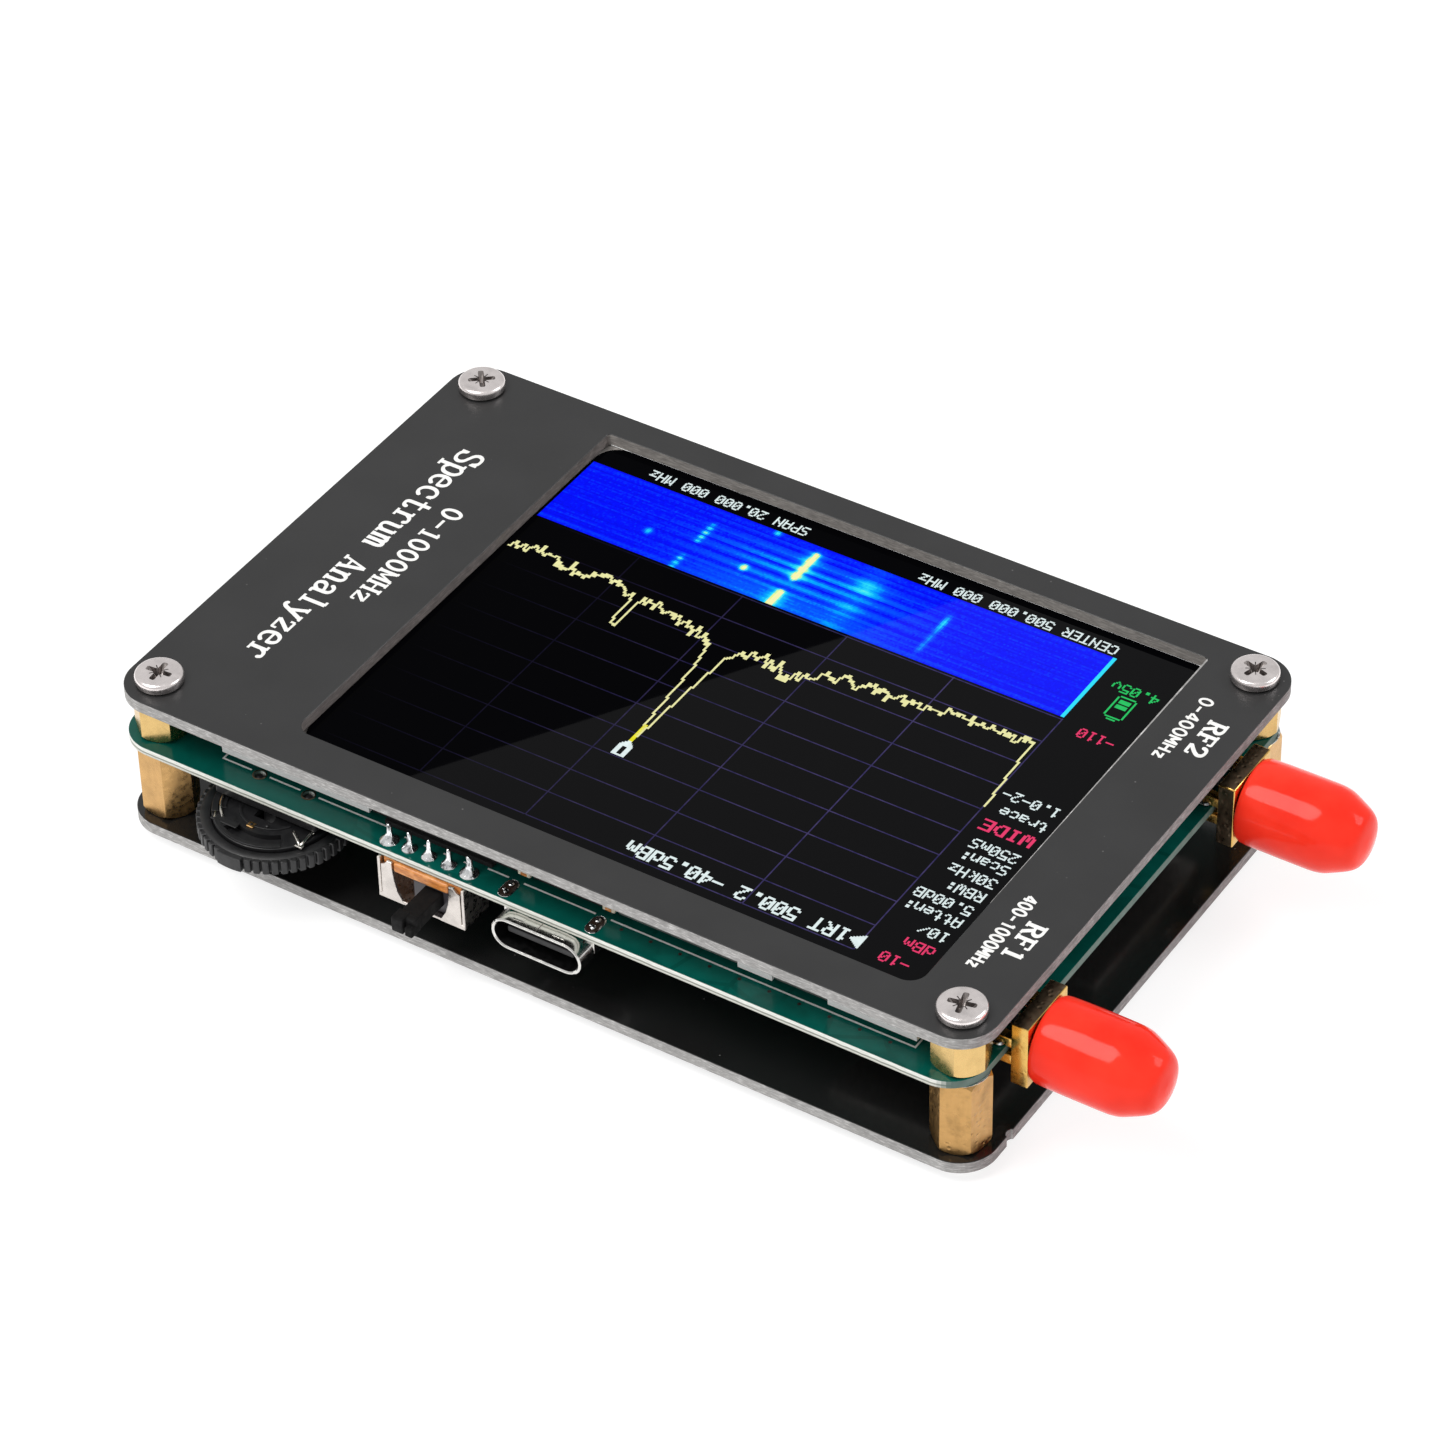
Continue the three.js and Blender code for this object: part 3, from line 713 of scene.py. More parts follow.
    def make(self, name, body, replaces=(), slot=None, recalc=True):
        bm = self.bm
        if recalc:
            bmesh.ops.recalc_face_normals(bm, faces=list(bm.faces))
        for v in bm.verts:
            v.co *= MM
        me = bpy.data.meshes.new(name)
        bm.to_mesh(me)
        bm.free()
        for m in self.mats:
            me.materials.append(M[m] if isinstance(m, str) else m)
        o = bpy.data.objects.new(name, me)
        bpy.context.scene.collection.objects.link(o)
        if replaces:
            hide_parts(*([replaces] if isinstance(replaces, str) else replaces))
        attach(o, body)
        return o


def inset(poly, d):
    """a closed outline moved to its left by d"""
    if abs(d) < 1e-9:
        return [tuple(p) for p in poly]
    n, out = len(poly), []
    for i in range(n):
        a, b, c = Vector(poly[i - 1]), Vector(poly[i]), Vector(poly[(i + 1) % n])
        e1, e2 = (b - a).normalized(), (c - b).normalized()
        n1, n2 = Vector((-e1.y, e1.x)), Vector((-e2.y, e2.x))
        m = (n1 + n2).normalized()
        k = d / max(0.3, m.dot(n1))
        out.append((b.x + m.x * k, b.y + m.y * k))
    return out


def rrect(x0, y0, x1, y1, r, seg=8):
    rs = r if isinstance(r, (list, tuple)) else [r] * 4
    pts = []
    for cx, cy, rr, a0 in (
        (x0 + rs[0], y0 + rs[0], rs[0], PI),
        (x1 - rs[1], y0 + rs[1], rs[1], 1.5 * PI),
        (x1 - rs[2], y1 - rs[2], rs[2], 0),
        (x0 + rs[3], y1 - rs[3], rs[3], 0.5 * PI),
    ):
        for i in range(seg + 1):
            a = a0 + PI / 2 * i / seg
            pts.append((cx + rr * math.cos(a), cy + rr * math.sin(a)))
    return pts


def circle(x, y, r, seg=32, a0=0.0):
    return [(x + r * math.cos(a0 + 2 * PI * k / seg), y + r * math.sin(a0 + 2 * PI * k / seg)) for k in range(seg)]


def ngon_hex(x, y, af, rot):
    r = af / math.sqrt(3)
    a = math.radians(rot)
    return [(x + r * math.cos(a + PI / 3 * k), y + r * math.sin(a + PI / 3 * k)) for k in range(6)]


def board(g, outer, holes, z0, z1, faces_mat, edge_mat, hole_mat=None, c=0.06, under_mat=None, hole_mats=None):
    """a flat sheet with holes; outer runs counter-clockwise, each hole clockwise; rims are chamfered by c"""
    loops = [outer] + holes
    flat = []
    for k, z in ((c, z0), (0, z0 + c), (0, z1 - c), (c, z1)):
        flat.append([[(x, y, z) for x, y in inset(lp, k)] for lp in loops])
    idx = {}
    for r, ring in enumerate(flat):
        for li, lp in enumerate(ring):
            for k, p in enumerate(lp):
                idx[(r, li, k)] = g.bm.verts.new(Vector(p))
    em, fm = g._slot(edge_mat), g._slot(faces_mat)
    um = g._slot(under_mat or faces_mat)
    for li, lp in enumerate(loops):
        n = len(lp)
        hm = hole_mats[li - 1] if (li and hole_mats) else (hole_mat or edge_mat)
        m = em if li == 0 else g._slot(hm)
        for r in range(3):
            for k in range(n):
                k2 = (k + 1) % n
                f = g.bm.faces.new([idx[(r, li, k)], idx[(r, li, k2)], idx[(r + 1, li, k2)], idx[(r + 1, li, k)]])
                # the two chamfers keep the lacquer of the face beside them
                f.material_index = m if r == 1 else (um if r == 0 else fm)
    for r, mi in ((3, fm), (0, um)):
        ring = flat[r]
        coords, edges, where = [], [], []
        for li, lp in enumerate(ring):
            s = len(coords)
            for k, p in enumerate(lp):
                coords.append(Vector((p[0], p[1])))
                where.append((r, li, k))
            edges += [(s + k, s + (k + 1) % len(lp)) for k in range(len(lp))]
        tri = geometry.delaunay_2d_cdt(coords, edges, [], 1, 1e-7)
        vs, fs, orig = tri[0], tri[2], tri[3]
        for f in fs:
            cx = sum(vs[i].x for i in f) / 3
            cy = sum(vs[i].y for i in f) / 3
            if not inside(cx, cy, [(p[0], p[1]) for p in ring[0]]):
                continue
            if any(inside(cx, cy, [(p[0], p[1]) for p in ring[li]]) for li in range(1, len(ring))):
                continue
            v = [idx[where[orig[i][0]]] for i in f]
            if r == 0:
                v.reverse()
            try:
                face = g.bm.faces.new(v)
                face.material_index = mi
            except ValueError:
                pass


def inside(x, y, poly):
    c, n = False, len(poly)
    j = n - 1
    for i in range(n):
        (xi, yi), (xj, yj) = poly[i], poly[j]
        if (yi > y) != (yj > y) and x < (xj - xi) * (y - yi) / (yj - yi) + xi:
            c = not c
        j = i
    return c


def boolean(a, b, op="DIFFERENCE"):
    """a and b: Geo in millimetres; gives a Geo with a's and b's materials"""
    objs = []
    for g in (a, b):
        bmesh.ops.recalc_face_normals(g.bm, faces=list(g.bm.faces))
        me = bpy.data.meshes.new("tmp")
        g.bm.to_mesh(me)
        g.bm.free()
        for m in g.mats:
            me.materials.append(M[m])
        o = bpy.data.objects.new("tmp", me)
        bpy.context.scene.collection.objects.link(o)
        objs.append(o)
    mod = objs[0].modifiers.new("b", "BOOLEAN")
    mod.operation, mod.solver, mod.object = op, "EXACT", objs[1]
    mod.material_mode = "TRANSFER"
    dg = bpy.context.evaluated_depsgraph_get()
    ev = objs[0].evaluated_get(dg)
    me = bpy.data.meshes.new_from_object(ev)
    out = Geo()
    names = {v: k for k, v in M.items()}
    out.mats = [names[m] for m in me.materials if m is not None]
    out.bm.from_mesh(me)
    for o in objs:
        d = o.data
        bpy.data.objects.remove(o)
        bpy.data.meshes.remove(d)
    bpy.data.meshes.remove(me)
    return out


def at(x, y, z, rz=0.0, flip=False, axis=None):
    m = Matrix.Translation((x, y, z)) @ Matrix.Rotation(rz, 4, "Z")
    if flip:
        m = m @ Matrix.Rotation(PI, 4, "X")
    if axis == "X":
        m = m @ Matrix.Rotation(PI / 2, 4, "Y")
    if axis == "-Y":
        m = m @ Matrix.Rotation(PI / 2, 4, "X")
    return m

# ------------------------------------------------------------------ cover boards
CHASSIS = "chassis"
corner_holes = [list(reversed(circle(x, y, 1.35, 28))) for x, y in CORNERS]
WIN = (px(-26.15), py(-23.5), px(35.05), py(24.6))

g = Geo()
window = list(reversed(rrect(*WIN, [1.4, 1.6, 0.4, 0.4], 8)))
board(g, rrect(PX0, PY0, PX1, PY1, 3.5, 14), [window] + corner_holes, ZT0, ZT1, "cover_top", "edge_grey", "edge_window", c=0.05)
# painted highlight: a thin pale strip of cut-edge laminate along the window's +X rim, widest at the far corner, for the
# light the rim catches
g.prism([(px(35.06), py(-12)), (px(35.09), py(-12)), (px(35.16), py(5)), (px(35.22), py(24.3)), (px(35.06), py(24.5))], ZT1 - 0.02, ZT1 + 0.006, "edge_grey", 0)
g.make("top_cover_sheet", CHASSIS, "top_cover_board", "cover_board_satin_black")

g = Geo()
notch = []
ny = py(-21.9)
outer = rrect(PX0, PY0, PX1, PY1, 3.5, 14)
# a break-off mark on the +X edge
k = max(i for i in range(len(outer)) if abs(outer[i][0] - PX1) < 1e-6 and outer[i][1] < ny)
arc = [(PX1, ny - 0.5), (PX1 - 0.16, ny - 0.42), (PX1 - 0.3, ny - 0.15), (PX1 - 0.3, ny + 0.15), (PX1 - 0.16, ny + 0.42), (PX1, ny + 0.5)]
outer = outer[: k + 1] + arc + outer[k + 1 :]
board(g, outer, corner_holes, ZB0, ZB1, "cover_bottom", "edge_grey", c=0.05)
g.make("bottom_cover_sheet", CHASSIS, "bottom_cover_board", "cover_board_gloss_black")

# ------------------------------------------------------------------ main board
SWX = px(-10.65)
PIN_X = [SWX - 2, SWX, SWX + 2]
LEG_X = [SWX - 4.05, SWX + 4.05]
PIN_Y = py(-26.4)
PEG = [(px(-28.97), py(-25.25)), (px(-23.87), py(-25.25))]
USB_X = px(1.6)
TABS = [(USB_X + s * 4.32, py(y)) for s in (-1, 1) for y in (-26.26, -22.3)]


def slot_outline(x, y, w, h, seg=8):
    r = w / 2
    pts = []
    for i in range(seg + 1):
        a = PI * i / seg
        pts.append((x + r * math.cos(a), y + h / 2 - r + r * math.sin(a)))
    for i in range(seg + 1):
        a = PI + PI * i / seg
        pts.append((x + r * math.cos(a), y - h / 2 + r + r * math.sin(a)))
    return pts


holes = list(corner_holes)
holes += [list(reversed(circle(x, PIN_Y, 0.42, 16))) for x in PIN_X]
holes += [list(reversed(circle(x, PIN_Y, 0.55, 16))) for x in LEG_X]
holes += [list(reversed(circle(x, y, 0.52, 18))) for x, y in PEG]
holes += [list(reversed(slot_outline(x, y, 0.66, 1.6))) for x, y in TABS]
g = Geo()
board(g, rrect(PX0, PY0, MB_HI[0], PY1, 3.5, 14), holes, ZM0, ZM1, "mask", "edge_cream", c=0.03)
g.make("main_board_sheet", CHASSIS, "main_board", "green_circuit_board")


def ribbon(g, pts, w, z, t, mat, close=False):
    """a flat printed line along pts"""
    P = [Vector((p[0], p[1])) for p in pts]
    n = len(P)
    L, R = [], []
    for i, p in enumerate(P):
        a = P[i - 1] if (i or close) else None
        b = P[(i + 1) % n] if (i < n - 1 or close) else None
        d1 = (p - a).normalized() if a is not None else None
        d2 = (b - p).normalized() if b is not None else None
        d1, d2 = d1 or d2, d2 or d1
        n1, n2 = Vector((-d1.y, d1.x)), Vector((-d2.y, d2.x))
        m = (n1 + n2).normalized()
        k = (w / 2) / max(0.4, m.dot(n1))
        L.append(p + m * k)
        R.append(p - m * k)
    verts, faces = [], []
    for zz in (z, z + t):
        verts += [(q.x, q.y, zz) for q in L] + [(q.x, q.y, zz) for q in R]
    m = n if close else n - 1
    for i in range(m):
        j = (i + 1) % n
        lo_l, lo_r, hi_l, hi_r = 0, n, 2 * n, 3 * n
        faces.append((hi_l + i, hi_r + i, hi_r + j, hi_l + j))
        faces.append((lo_l + i, lo_l + j, lo_r + j, lo_r + i))
        faces.append((lo_l + i, hi_l + i, hi_l + j, lo_l + j))
        faces.append((lo_r + i, lo_r + j, hi_r + j, hi_r + i))
    if not close:
        faces.append((0, n, 3 * n, 2 * n))
        faces.append((n - 1, 3 * n - 1, 4 * n - 1, 2 * n - 1))
    g.add(verts, faces, mat)


# white outline round the display, broken where holes and joints stand on it
g = Geo()
ys = py(-25.1)
x0s, x1s = px(-32.9), px(35.9)
breaks = [(PEG[0][0] - 0.95, PEG[0][0] + 0.95), (PEG[1][0] - 0.95, PEG[1][0] + 0.95), (LEG_X[0] - 1.0, LEG_X[1] + 1.0)]
breaks += [(USB_X - 4.32 - 0.75, USB_X - 4.32 + 0.75), (USB_X + 4.32 - 0.75, USB_X + 4.32 + 0.75)]
xs = x0s
segs = []
for a, b in sorted(breaks):
    segs.append((xs, a))
    xs = b
segs.append((xs, x1s))
zt = ZM1 + 0.001
for i, (a, b) in enumerate(segs):
    pts = [(a, ys), (b, ys)]
    if i == 0:
        pts = [(a, ys + 50.1), (a, ys), (b, ys)]
    if i == len(segs) - 1:
        pts = [(a, ys), (b, ys), (b, ys + 50.1)]
    ribbon(g, pts, 0.17, zt, 0.022, "print")
ribbon(g, [(x0s, ys + 50.1), (x1s, ys + 50.1)], 0.17, zt, 0.022, "print")
g.make("display_outline_print", CHASSIS, slot="green_circuit_board")


def ring_pad(g, x, y, r0, r1, z, t, mat, seg=28):
    g.lathe([(r0, z), (r1, z), (r1, z + t * 0.7), (r1 - 0.03, z + t), (r0, z + t), (r0, z)], mat, seg, at(x, y, 0), smooth=False)


g = Geo()
for x, y in PEG:
    ring_pad(g, x, y, 0.53, 0.66, ZM1 + 0.001, 0.03, "gold_dark")
    ring_pad(g, x, y, 0.53, 0.66, ZM0 - 0.031, 0.03, "gold_dark")
for x, y in CORNERS:
    ring_pad(g, x, y, 1.36, 2.42, ZM0 - 0.031, 0.03, "tin")
# a row of small filled holes under the display's edge
for k in range(10):
    g.prism(circle(px(8.05 + 2.87 * k), py(-25.62), 0.17, 14), ZM1 + 0.001, ZM1 + 0.012, "pad_dark", 0)
g.make("plated_rings", CHASSIS, slot="green_circuit_board")

# black wiring strip and short print ticks behind the switch's joints
g = Geo()
g.box(LEG_X[0] - 1.5, py(-24.95), ZM1 + 0.03, LEG_X[1] + 1.3, py(-24.2), ZM1 + 0.5, "foam", 0.04)
for x in PIN_X + [LEG_X[1]]:
    ribbon(g, [(x - 1.18, py(-25.45)), (x - 0.72, py(-25.45))], 0.16, ZM1 + 0.001, 0.022, "print")
g.make("switch_side_strip", CHASSIS, slot="green_circuit_board")

# long pads of the socket's tabs, filled with solder
for i, (x, y) in enumerate(TABS):
    g = Geo()
    g.prism(slot_outline(x, y, 1.30, 2.30, 10), ZM1 + 0.001, ZM1 + 0.05, "tin", 0.03)
    g.prism(slot_outline(x, y, 1.02, 2.02, 10), ZM1 + 0.002, ZM1 + 0.075, "pad_dark", 0.03, 2, True)
    g.prism(slot_outline(x - 0.05, y + 0.48, 0.50, 0.60, 8), ZM1 + 0.05, ZM1 + 0.26, "tin", 0.14, 3, True)
    g.prism(slot_outline(x + 0.10, y - 0.50, 0.44, 0.54, 8), ZM1 + 0.05, ZM1 + 0.30, "tin", 0.14, 3, True)
    g.prism(slot_outline(x - 0.26, y - 0.30, 0.26, 0.34, 8), ZM1 + 0.05, ZM1 + 0.20, "tin", 0.08, 3, True)
    g.make("socket_pad_%d" % (i + 1), CHASSIS, slot="tinned_steel")

# ------------------------------------------------------------------ standoffs
TURN = {"upper": (20, 47, 50, 35), "lower": (55, 19, 30, 5)}  # each bar's own angle, as in the CAD
for i, (x, y) in enumerate(CORNERS, 1):
    for kind, z0, z1 in (("upper", ZM1, ZT0), ("lower", ZB1, ZM0)):
        a = Geo()
        mat = "brass_pitted" if (kind == "lower" and i == 2) else ("brass" if kind == "upper" else "brass_lower")
        a.prism(ngon_hex(x, y, 4.5, TURN[kind][i - 1]), z0, z1, mat, 0)
        b = Geo()
        b.lathe(
            [(1.3, z0), (2.12, z0), (2.2, z0 + 0.04), (2.38, z0 + 0.2), (2.52, z0 + 0.36), (2.66, z0 + 0.6), (2.66, z1 - 0.6), (2.52, z1 - 0.36), (2.38, z1 - 0.2), (2.2, z1 - 0.04), (2.12, z1), (1.3, z1), (1.3, z0)],
            mat,
            64,
            at(x, y, 0),
        )
        g = boolean(a, b, "INTERSECT")
        bmesh.ops.remove_doubles(g.bm, verts=list(g.bm.verts), dist=0.001)
        if kind == "lower":
            prof = [(0, z1 - 1.2)]
            z = z1 - 1.2
            while z < ZM1 + 1.6:
                prof += [(1.24, z + 0.05), (1.05, z + 0.22)]
                z += 0.4
            prof += [(1.15, ZM1 + 1.62), (0.95, ZM1 + 1.7), (0, ZM1 + 1.7)]
            g.lathe(prof, mat, 28, at(x, y, 0))
        o = g.make("%s_standoff_hex_%d" % (kind, i), CHASSIS, "%s_standoff_%d" % (kind, i), "brass")
        o.data.set_sharp_from_angle(angle=math.radians(25)) if hasattr(o.data, "set_sharp_from_angle") else None

# ------------------------------------------------------------------ screws


def screw_geo(x, y, z, down, rot):
    H, R = 1.05, 2.15
    head = Geo()
    prof = [(0, 0.02), (1.85, 0.02), (2.0, 0.06), (2.11, 0.16), (R, 0.32), (R, 0.62), (2.135, 0.74), (2.09, 0.86), (2.01, 0.95), (1.9, 1.01), (1.78, 1.035)]
    r = 1.7
    k = 0
    # turned rings on the face
    while r > 1.42:
        prof.append((r, H - (0.0 if k % 2 else 0.012)))
        r -= 0.07
        k += 1
    prof += [(1.3, H), (0.6, H), (0, H)]
    head.lathe(prof, "nickel", 72, None)
    tool = Geo()
    # cross recess: four tapered arms that get shallower outwards, round a cone
    n = 4
    verts, faces = [], []
    for lvl, (hz, ro, ri, w) in enumerate(((H + 0.25, 1.42, 0.46, 0.30), (H - 0.02, 1.22, 0.42, 0.255), (H - 0.55, 0.78, 0.30, 0.17), (H - 0.78, 0.45, 0.20, 0.12))):
        for q in range(n):
            c, s = math.cos(q * PI / 2), math.sin(q * PI / 2)
            for lx, ly in ((ri, -w), (ro * 0.9, -w), (ro, -w * 0.6), (ro, w * 0.6), (ro * 0.9, w), (ri, w)):
                verts.append((lx * c - ly * s, lx * s + ly * c, hz))
    m = n * 6
    for lvl in range(3):
        for q in range(m):
            q2 = (q + 1) % m
            faces.append((lvl * m + q, (lvl + 1) * m + q, (lvl + 1) * m + q2, lvl * m + q2))
    faces.append(tuple(range(m)))
    faces.append(tuple(reversed(range(3 * m, 4 * m))))
    # the recess walls take the darker nickel: painted shade inside the cross
    tool.add(verts, faces, "nickel_dark")
    g = boolean(head, tool)
    # four fine notches between the arms
    for q in range(4):
        a = q * PI / 2 + PI / 4
        tool = Geo()
        tool.box(0.30, -0.05, H - 0.12, 0.86, 0.05, H + 0.2, "nickel_dark", 0, xf=Matrix.Rotation(a, 4, "Z"))
        g = boolean(g, tool)
    # threaded shank below the head
    prof = [(0, 0.05), (1.12, 0.05), (1.12, -0.25)]
    zz = -0.25
    while zz > -2.6:
        prof += [(1.24, zz - 0.1), (1.24, zz - 0.15), (1.03, zz - 0.32)]
        zz -= 0.4
    prof += [(0.95, -2.85), (0, -2.85)]
    g.lathe(prof, "nickel", 32, None)
    xf = at(x, y, z, rot, down)
    for v in g.bm.verts:
        v.co = xf @ v.co
    return g


for i, ((x, y), a) in enumerate(zip(CORNERS, (5, 12.8, 74, 39)), 1):
    g = screw_geo(x, y, ZT1, False, math.radians(a))
    o = g.make("top_screw_head_%d" % i, CHASSIS, "top_screw_%d" % i, "nickel_screw")
    o.data.set_sharp_from_angle(angle=math.radians(32))
    g = screw_geo(x, y, ZB0, True, math.radians((40, 63, 11, 27)[i - 1]))
    o = g.make("bottom_screw_head_%d" % i, CHASSIS, "bottom_screw_%d" % i, "nickel_screw")
    o.data.set_sharp_from_angle(angle=math.radians(32))

# ------------------------------------------------------------------ display
GL, GH = mmbox("display_glass")
FL, FH = mmbox("display_frame")
g = Geo()
g.prism(rrect(GL[0], GL[1], GH[0], GH[1], 1.0, 8), GL[2], GH[2], "lens", 0.07, 2)
# pale gasket that shows round the lens in the window's left corners
for xa, ya, xb, yb in ((-26.4, 21.2, -23.2, 24.75), (-26.4, -23.7, -24.4, -21.6)):
    g.box(px(xa), py(ya), GH[2] + 0.001, px(xb), py(yb), GH[2] + 0.016, "edge_window", 0)
g.make("display_panel", CHASSIS, "display_glass", "display_glass")
CLO, CHI = mmbox("display_cover_lens")
g = Geo()
g.prism(rrect(CLO[0], CLO[1], CHI[0], CHI[1], [1.7, 1.5, 0.7, 2.3], 10), CLO[2], CHI[2], "lens", 0.05, 2)
g.make("display_lens", CHASSIS, "display_cover_lens", "display_glass")

# white backlight frame: a tray whose front side steps back where the clips and the wiring are
g = Geo()
ya, yr = FL[1], FL[1] + 0.55
fo = [(FL[0], ya)]
for xa, xb in ((-17.7, 19.0), (22.3, 27.6)):
    fo += [(px(xa), ya), (px(xa), yr), (px(xb), yr), (px(xb), ya)]
fo += [(FH[0], ya), (FH[0], FH[1]), (FL[0], FH[1])]
fi = list(reversed(rrect(FL[0] + 0.9, FL[1] + 0.95, FH[0] - 0.9, FH[1] - 0.9, 0.4, 5)))
board(g, fo, [fi], FL[2], FH[2], "white_frame", "white_frame", c=0.05)
g.box(FL[0] + 0.85, FL[1] + 0.9, FL[2] + 0.02, FH[0] - 0.85, FH[1] - 0.85, FL[2] + 0.5, "white_frame", 0.05)
for xa, xb, mat in ((-17.6, -2.75, "foam"), (-1.3, 5.55, "foam"), (7.2, 18.8, "frame_dim"), (22.4, 27.5, "frame_dim")):
    g.box(px(xa), yr - 0.22, FL[2] + 0.03, px(xb), yr - 0.01, FH[2] - 0.1, mat, 0.03)
for x in (-2.02, 6.38):
    g.box(px(x - 0.62), ya + 0.04, FL[2] + 0.1, px(x + 0.62), yr + 0.05, FL[2] + 0.62, "ivory", 0.08)
    g.box(px(x - 0.30), ya + 0.0, FL[2] + 0.2, px(x + 0.30), ya + 0.06, FL[2] + 0.5, "phenolic", 0.02)
g.make("display_backlight_tray", CHASSIS, "display_frame", "display_frame_white")

# ---- the picture: every mark is a thin raised tile on the glass
ZP = CHI[2] + 0.002
ZPT = 0.012
FONT = {
    " ": "0000000000", "-": "0808080808", ".": "0060600000", "/": "2010080402", ":": "0036360000",
    "0": "3E5149453E", "1": "00427F4000", "2": "4261514946", "3": "2141454B31", "4": "1814127F10",
    "5": "2745454539", "6": "3C4A494930", "7": "0171090503", "8": "3649494936", "9": "064949291E",
    "A": "7E1111117E", "B": "7F49494936", "C": "3E41414122", "D": "7F4141221C", "E": "7F49494941",
    "F": "7F09090901", "G": "3E4149497A", "H": "7F0808087F", "I": "00417F4100", "K": "7F08142241",
    "L": "7F40404040", "M": "7F020C027F", "N": "7F0408107F", "O": "3E4141413E", "P": "7F09090906",
    "R": "7F09192946", "S": "4649494931", "T": "01017F0101", "W": "3F4038403F", "Z": "6151494543",
    "a": "2054545478", "b": "7F48444438", "c": "3844444420", "d": "384444487F", "e": "3854545418",
    "f": "087E090102", "g": "0C5252523E", "h": "7F08040478", "i": "00447D4000", "k": "7F10284400",
    "l": "00417F4000", "m": "7C04180478", "n": "7C08040478", "o": "3844444438", "p": "7C14141408",
    "r": "7C08040408", "s": "4854545420", "t": "043F444020", "u": "3C4040207C", "v": "1C2040201C",
    "w": "3C4030403C", "z": "4464544C44", ">": "7F3E1C0800",
}  # fmt: skip


cover_px, cover_py = px, py


def px(x):
    return x + OX + 0.20


def py(y):
    return y + OY - 0.30


def tile(g, xa, ya, xb, yb, mat, z=ZP, t=ZPT):
    x0, x1, y0, y1 = min(xa, xb), max(xa, xb), min(ya, yb), max(ya, yb)
    v = [(x0, y0, z), (x1, y0, z), (x1, y1, z), (x0, y1, z), (x0, y0, z + t), (x1, y0, z + t), (x1, y1, z + t), (x0, y1, z + t)]
    g.add(v, [(3, 2, 1, 0), (4, 5, 6, 7), (0, 1, 5, 4), (1, 2, 6, 5), (2, 3, 7, 6), (3, 0, 4, 7)], mat)


def screen_text(g, text, xs, xe, yc, h, mat, bold=False):
    """text that reads towards -X with its top towards -Y, from xs to xe, yc its middle and h its height"""
    adv = (xs - xe) / (len(text) - 0.17)
    pw, ph = adv / 6, h / 7
    for n, ch in enumerate(text):
        cols = [int(FONT[ch][k * 2 : k * 2 + 2], 16) for k in range(5)]
        grid = [[(c >> r) & 1 for c in cols] for r in range(7)]
        x = xs - n * adv
        for r in range(7):
            k = 0
            while k < 5:
                if grid[r][k]:
                    e = k
                    while e + 1 < 5 and grid[r][e + 1]:
                        e += 1
                    y = yc - h / 2 + r * ph
                    tile(g, px(x - k * pw + 0.02), py(y), px(x - (e + 1 + (0.30 if bold else 0.0)) * pw), py(y + ph * (1.0 if bold else 0.9)), mat)
                    k = e + 1
                else:
                    k += 1


g = Geo()
screen_text(g, "CENTER 500.000 000 MHz", 27.25, 7.5, 22.75, 1.22, "px_white")
screen_text(g, "SPAN 20.000 000 MHz", -4.1, -20.65, 23.0, 1.22, "px_white")
for t, y in (("10/", -16.3), ("Atten:", -14.25), ("5.00dB", -12.5), ("RBW:", -10.55), ("30kHz", -8.65), ("Scan:", -6.75), ("250mS", -5.05), ("trace", -0.45), ("1.0-2-", 1.68)):
    screen_text(g, t, 33.62, 33.62 - 0.888 * len(t), y, 1.25, "px_white")
screen_text(g, "1RT 500.2 -40.5dBm", 26.55, 5.2, -20.2, 1.62, "px_white", True)
# the pointer before the readout
for k in range(6):
    hh = 1.7 * (1 - k / 6)
    tile(g, px(27.95 - k * 0.2), py(-20.2 - hh / 2), px(27.95 - (k + 1) * 0.2), py(-20.2 + hh / 2), "px_white")
g.make("screen_readouts_white", CHASSIS, slot="display_glass")

g = Geo()
screen_text(g, "-10", 32.6, 29.9, -20.7, 1.25, "px_pink")
screen_text(g, "dBm", 33.5, 30.7, -18.35, 1.25, "px_pink")
screen_text(g, "WIDE", 33.62, 28.75, -2.58, 1.45, "px_pink", True)
screen_text(g, "-110", 33.1, 29.7, 11.75, 1.25, "px_pink")
g.make("screen_readouts_pink", CHASSIS, slot="display_glass")

g = Geo()
screen_text(g, "4.05v", 33.5, 29.1, 18.7, 1.25, "px_green")
# battery symbol, its cap towards -Y
bx0, bx1, by0, by1 = 30.3, 32.15, 14.75, 17.75
for a in ((bx0 + 0.2, by0, bx1 - 0.2, by0 + 0.17), (bx0 + 0.2, by1 - 0.17, bx1 - 0.2, by1), (bx0, by0 + 0.2, bx0 + 0.17, by1 - 0.2), (bx1 - 0.17, by0 + 0.2, bx1, by1 - 0.2), (bx0 + 0.5, by0 - 0.3, bx1 - 0.5, by0 - 0.13)):
    tile(g, px(a[0]), py(a[1]), px(a[2]), py(a[3]), "px_green")
for y in (16.1, 16.78):
    tile(g, px(bx0 + 0.4), py(y), px(bx1 - 0.4), py(y + 0.5), "px_green")
g.make("screen_battery_symbol", CHASSIS, slot="display_glass")

# grid
g = Geo()
gx = [27.75 - 10.66 * k for k in range(6)]
gy = [-21.27 + 3.37 * k for k in range(11)]
W = 0.12
for x in gx:
    tile(g, px(x - W / 2), py(gy[0]), px(x + W / 2), py(12.55), "px_grid", ZP - 0.001, 0.006)
for y in gy:
    for a, b in zip(gx, gx[1:]):
        tile(g, px(b + W / 2), py(y - W / 2), px(a - W / 2), py(y + W / 2), "px_grid", ZP - 0.001, 0.006)
g.make("screen_grid", CHASSIS, slot="display_glass")

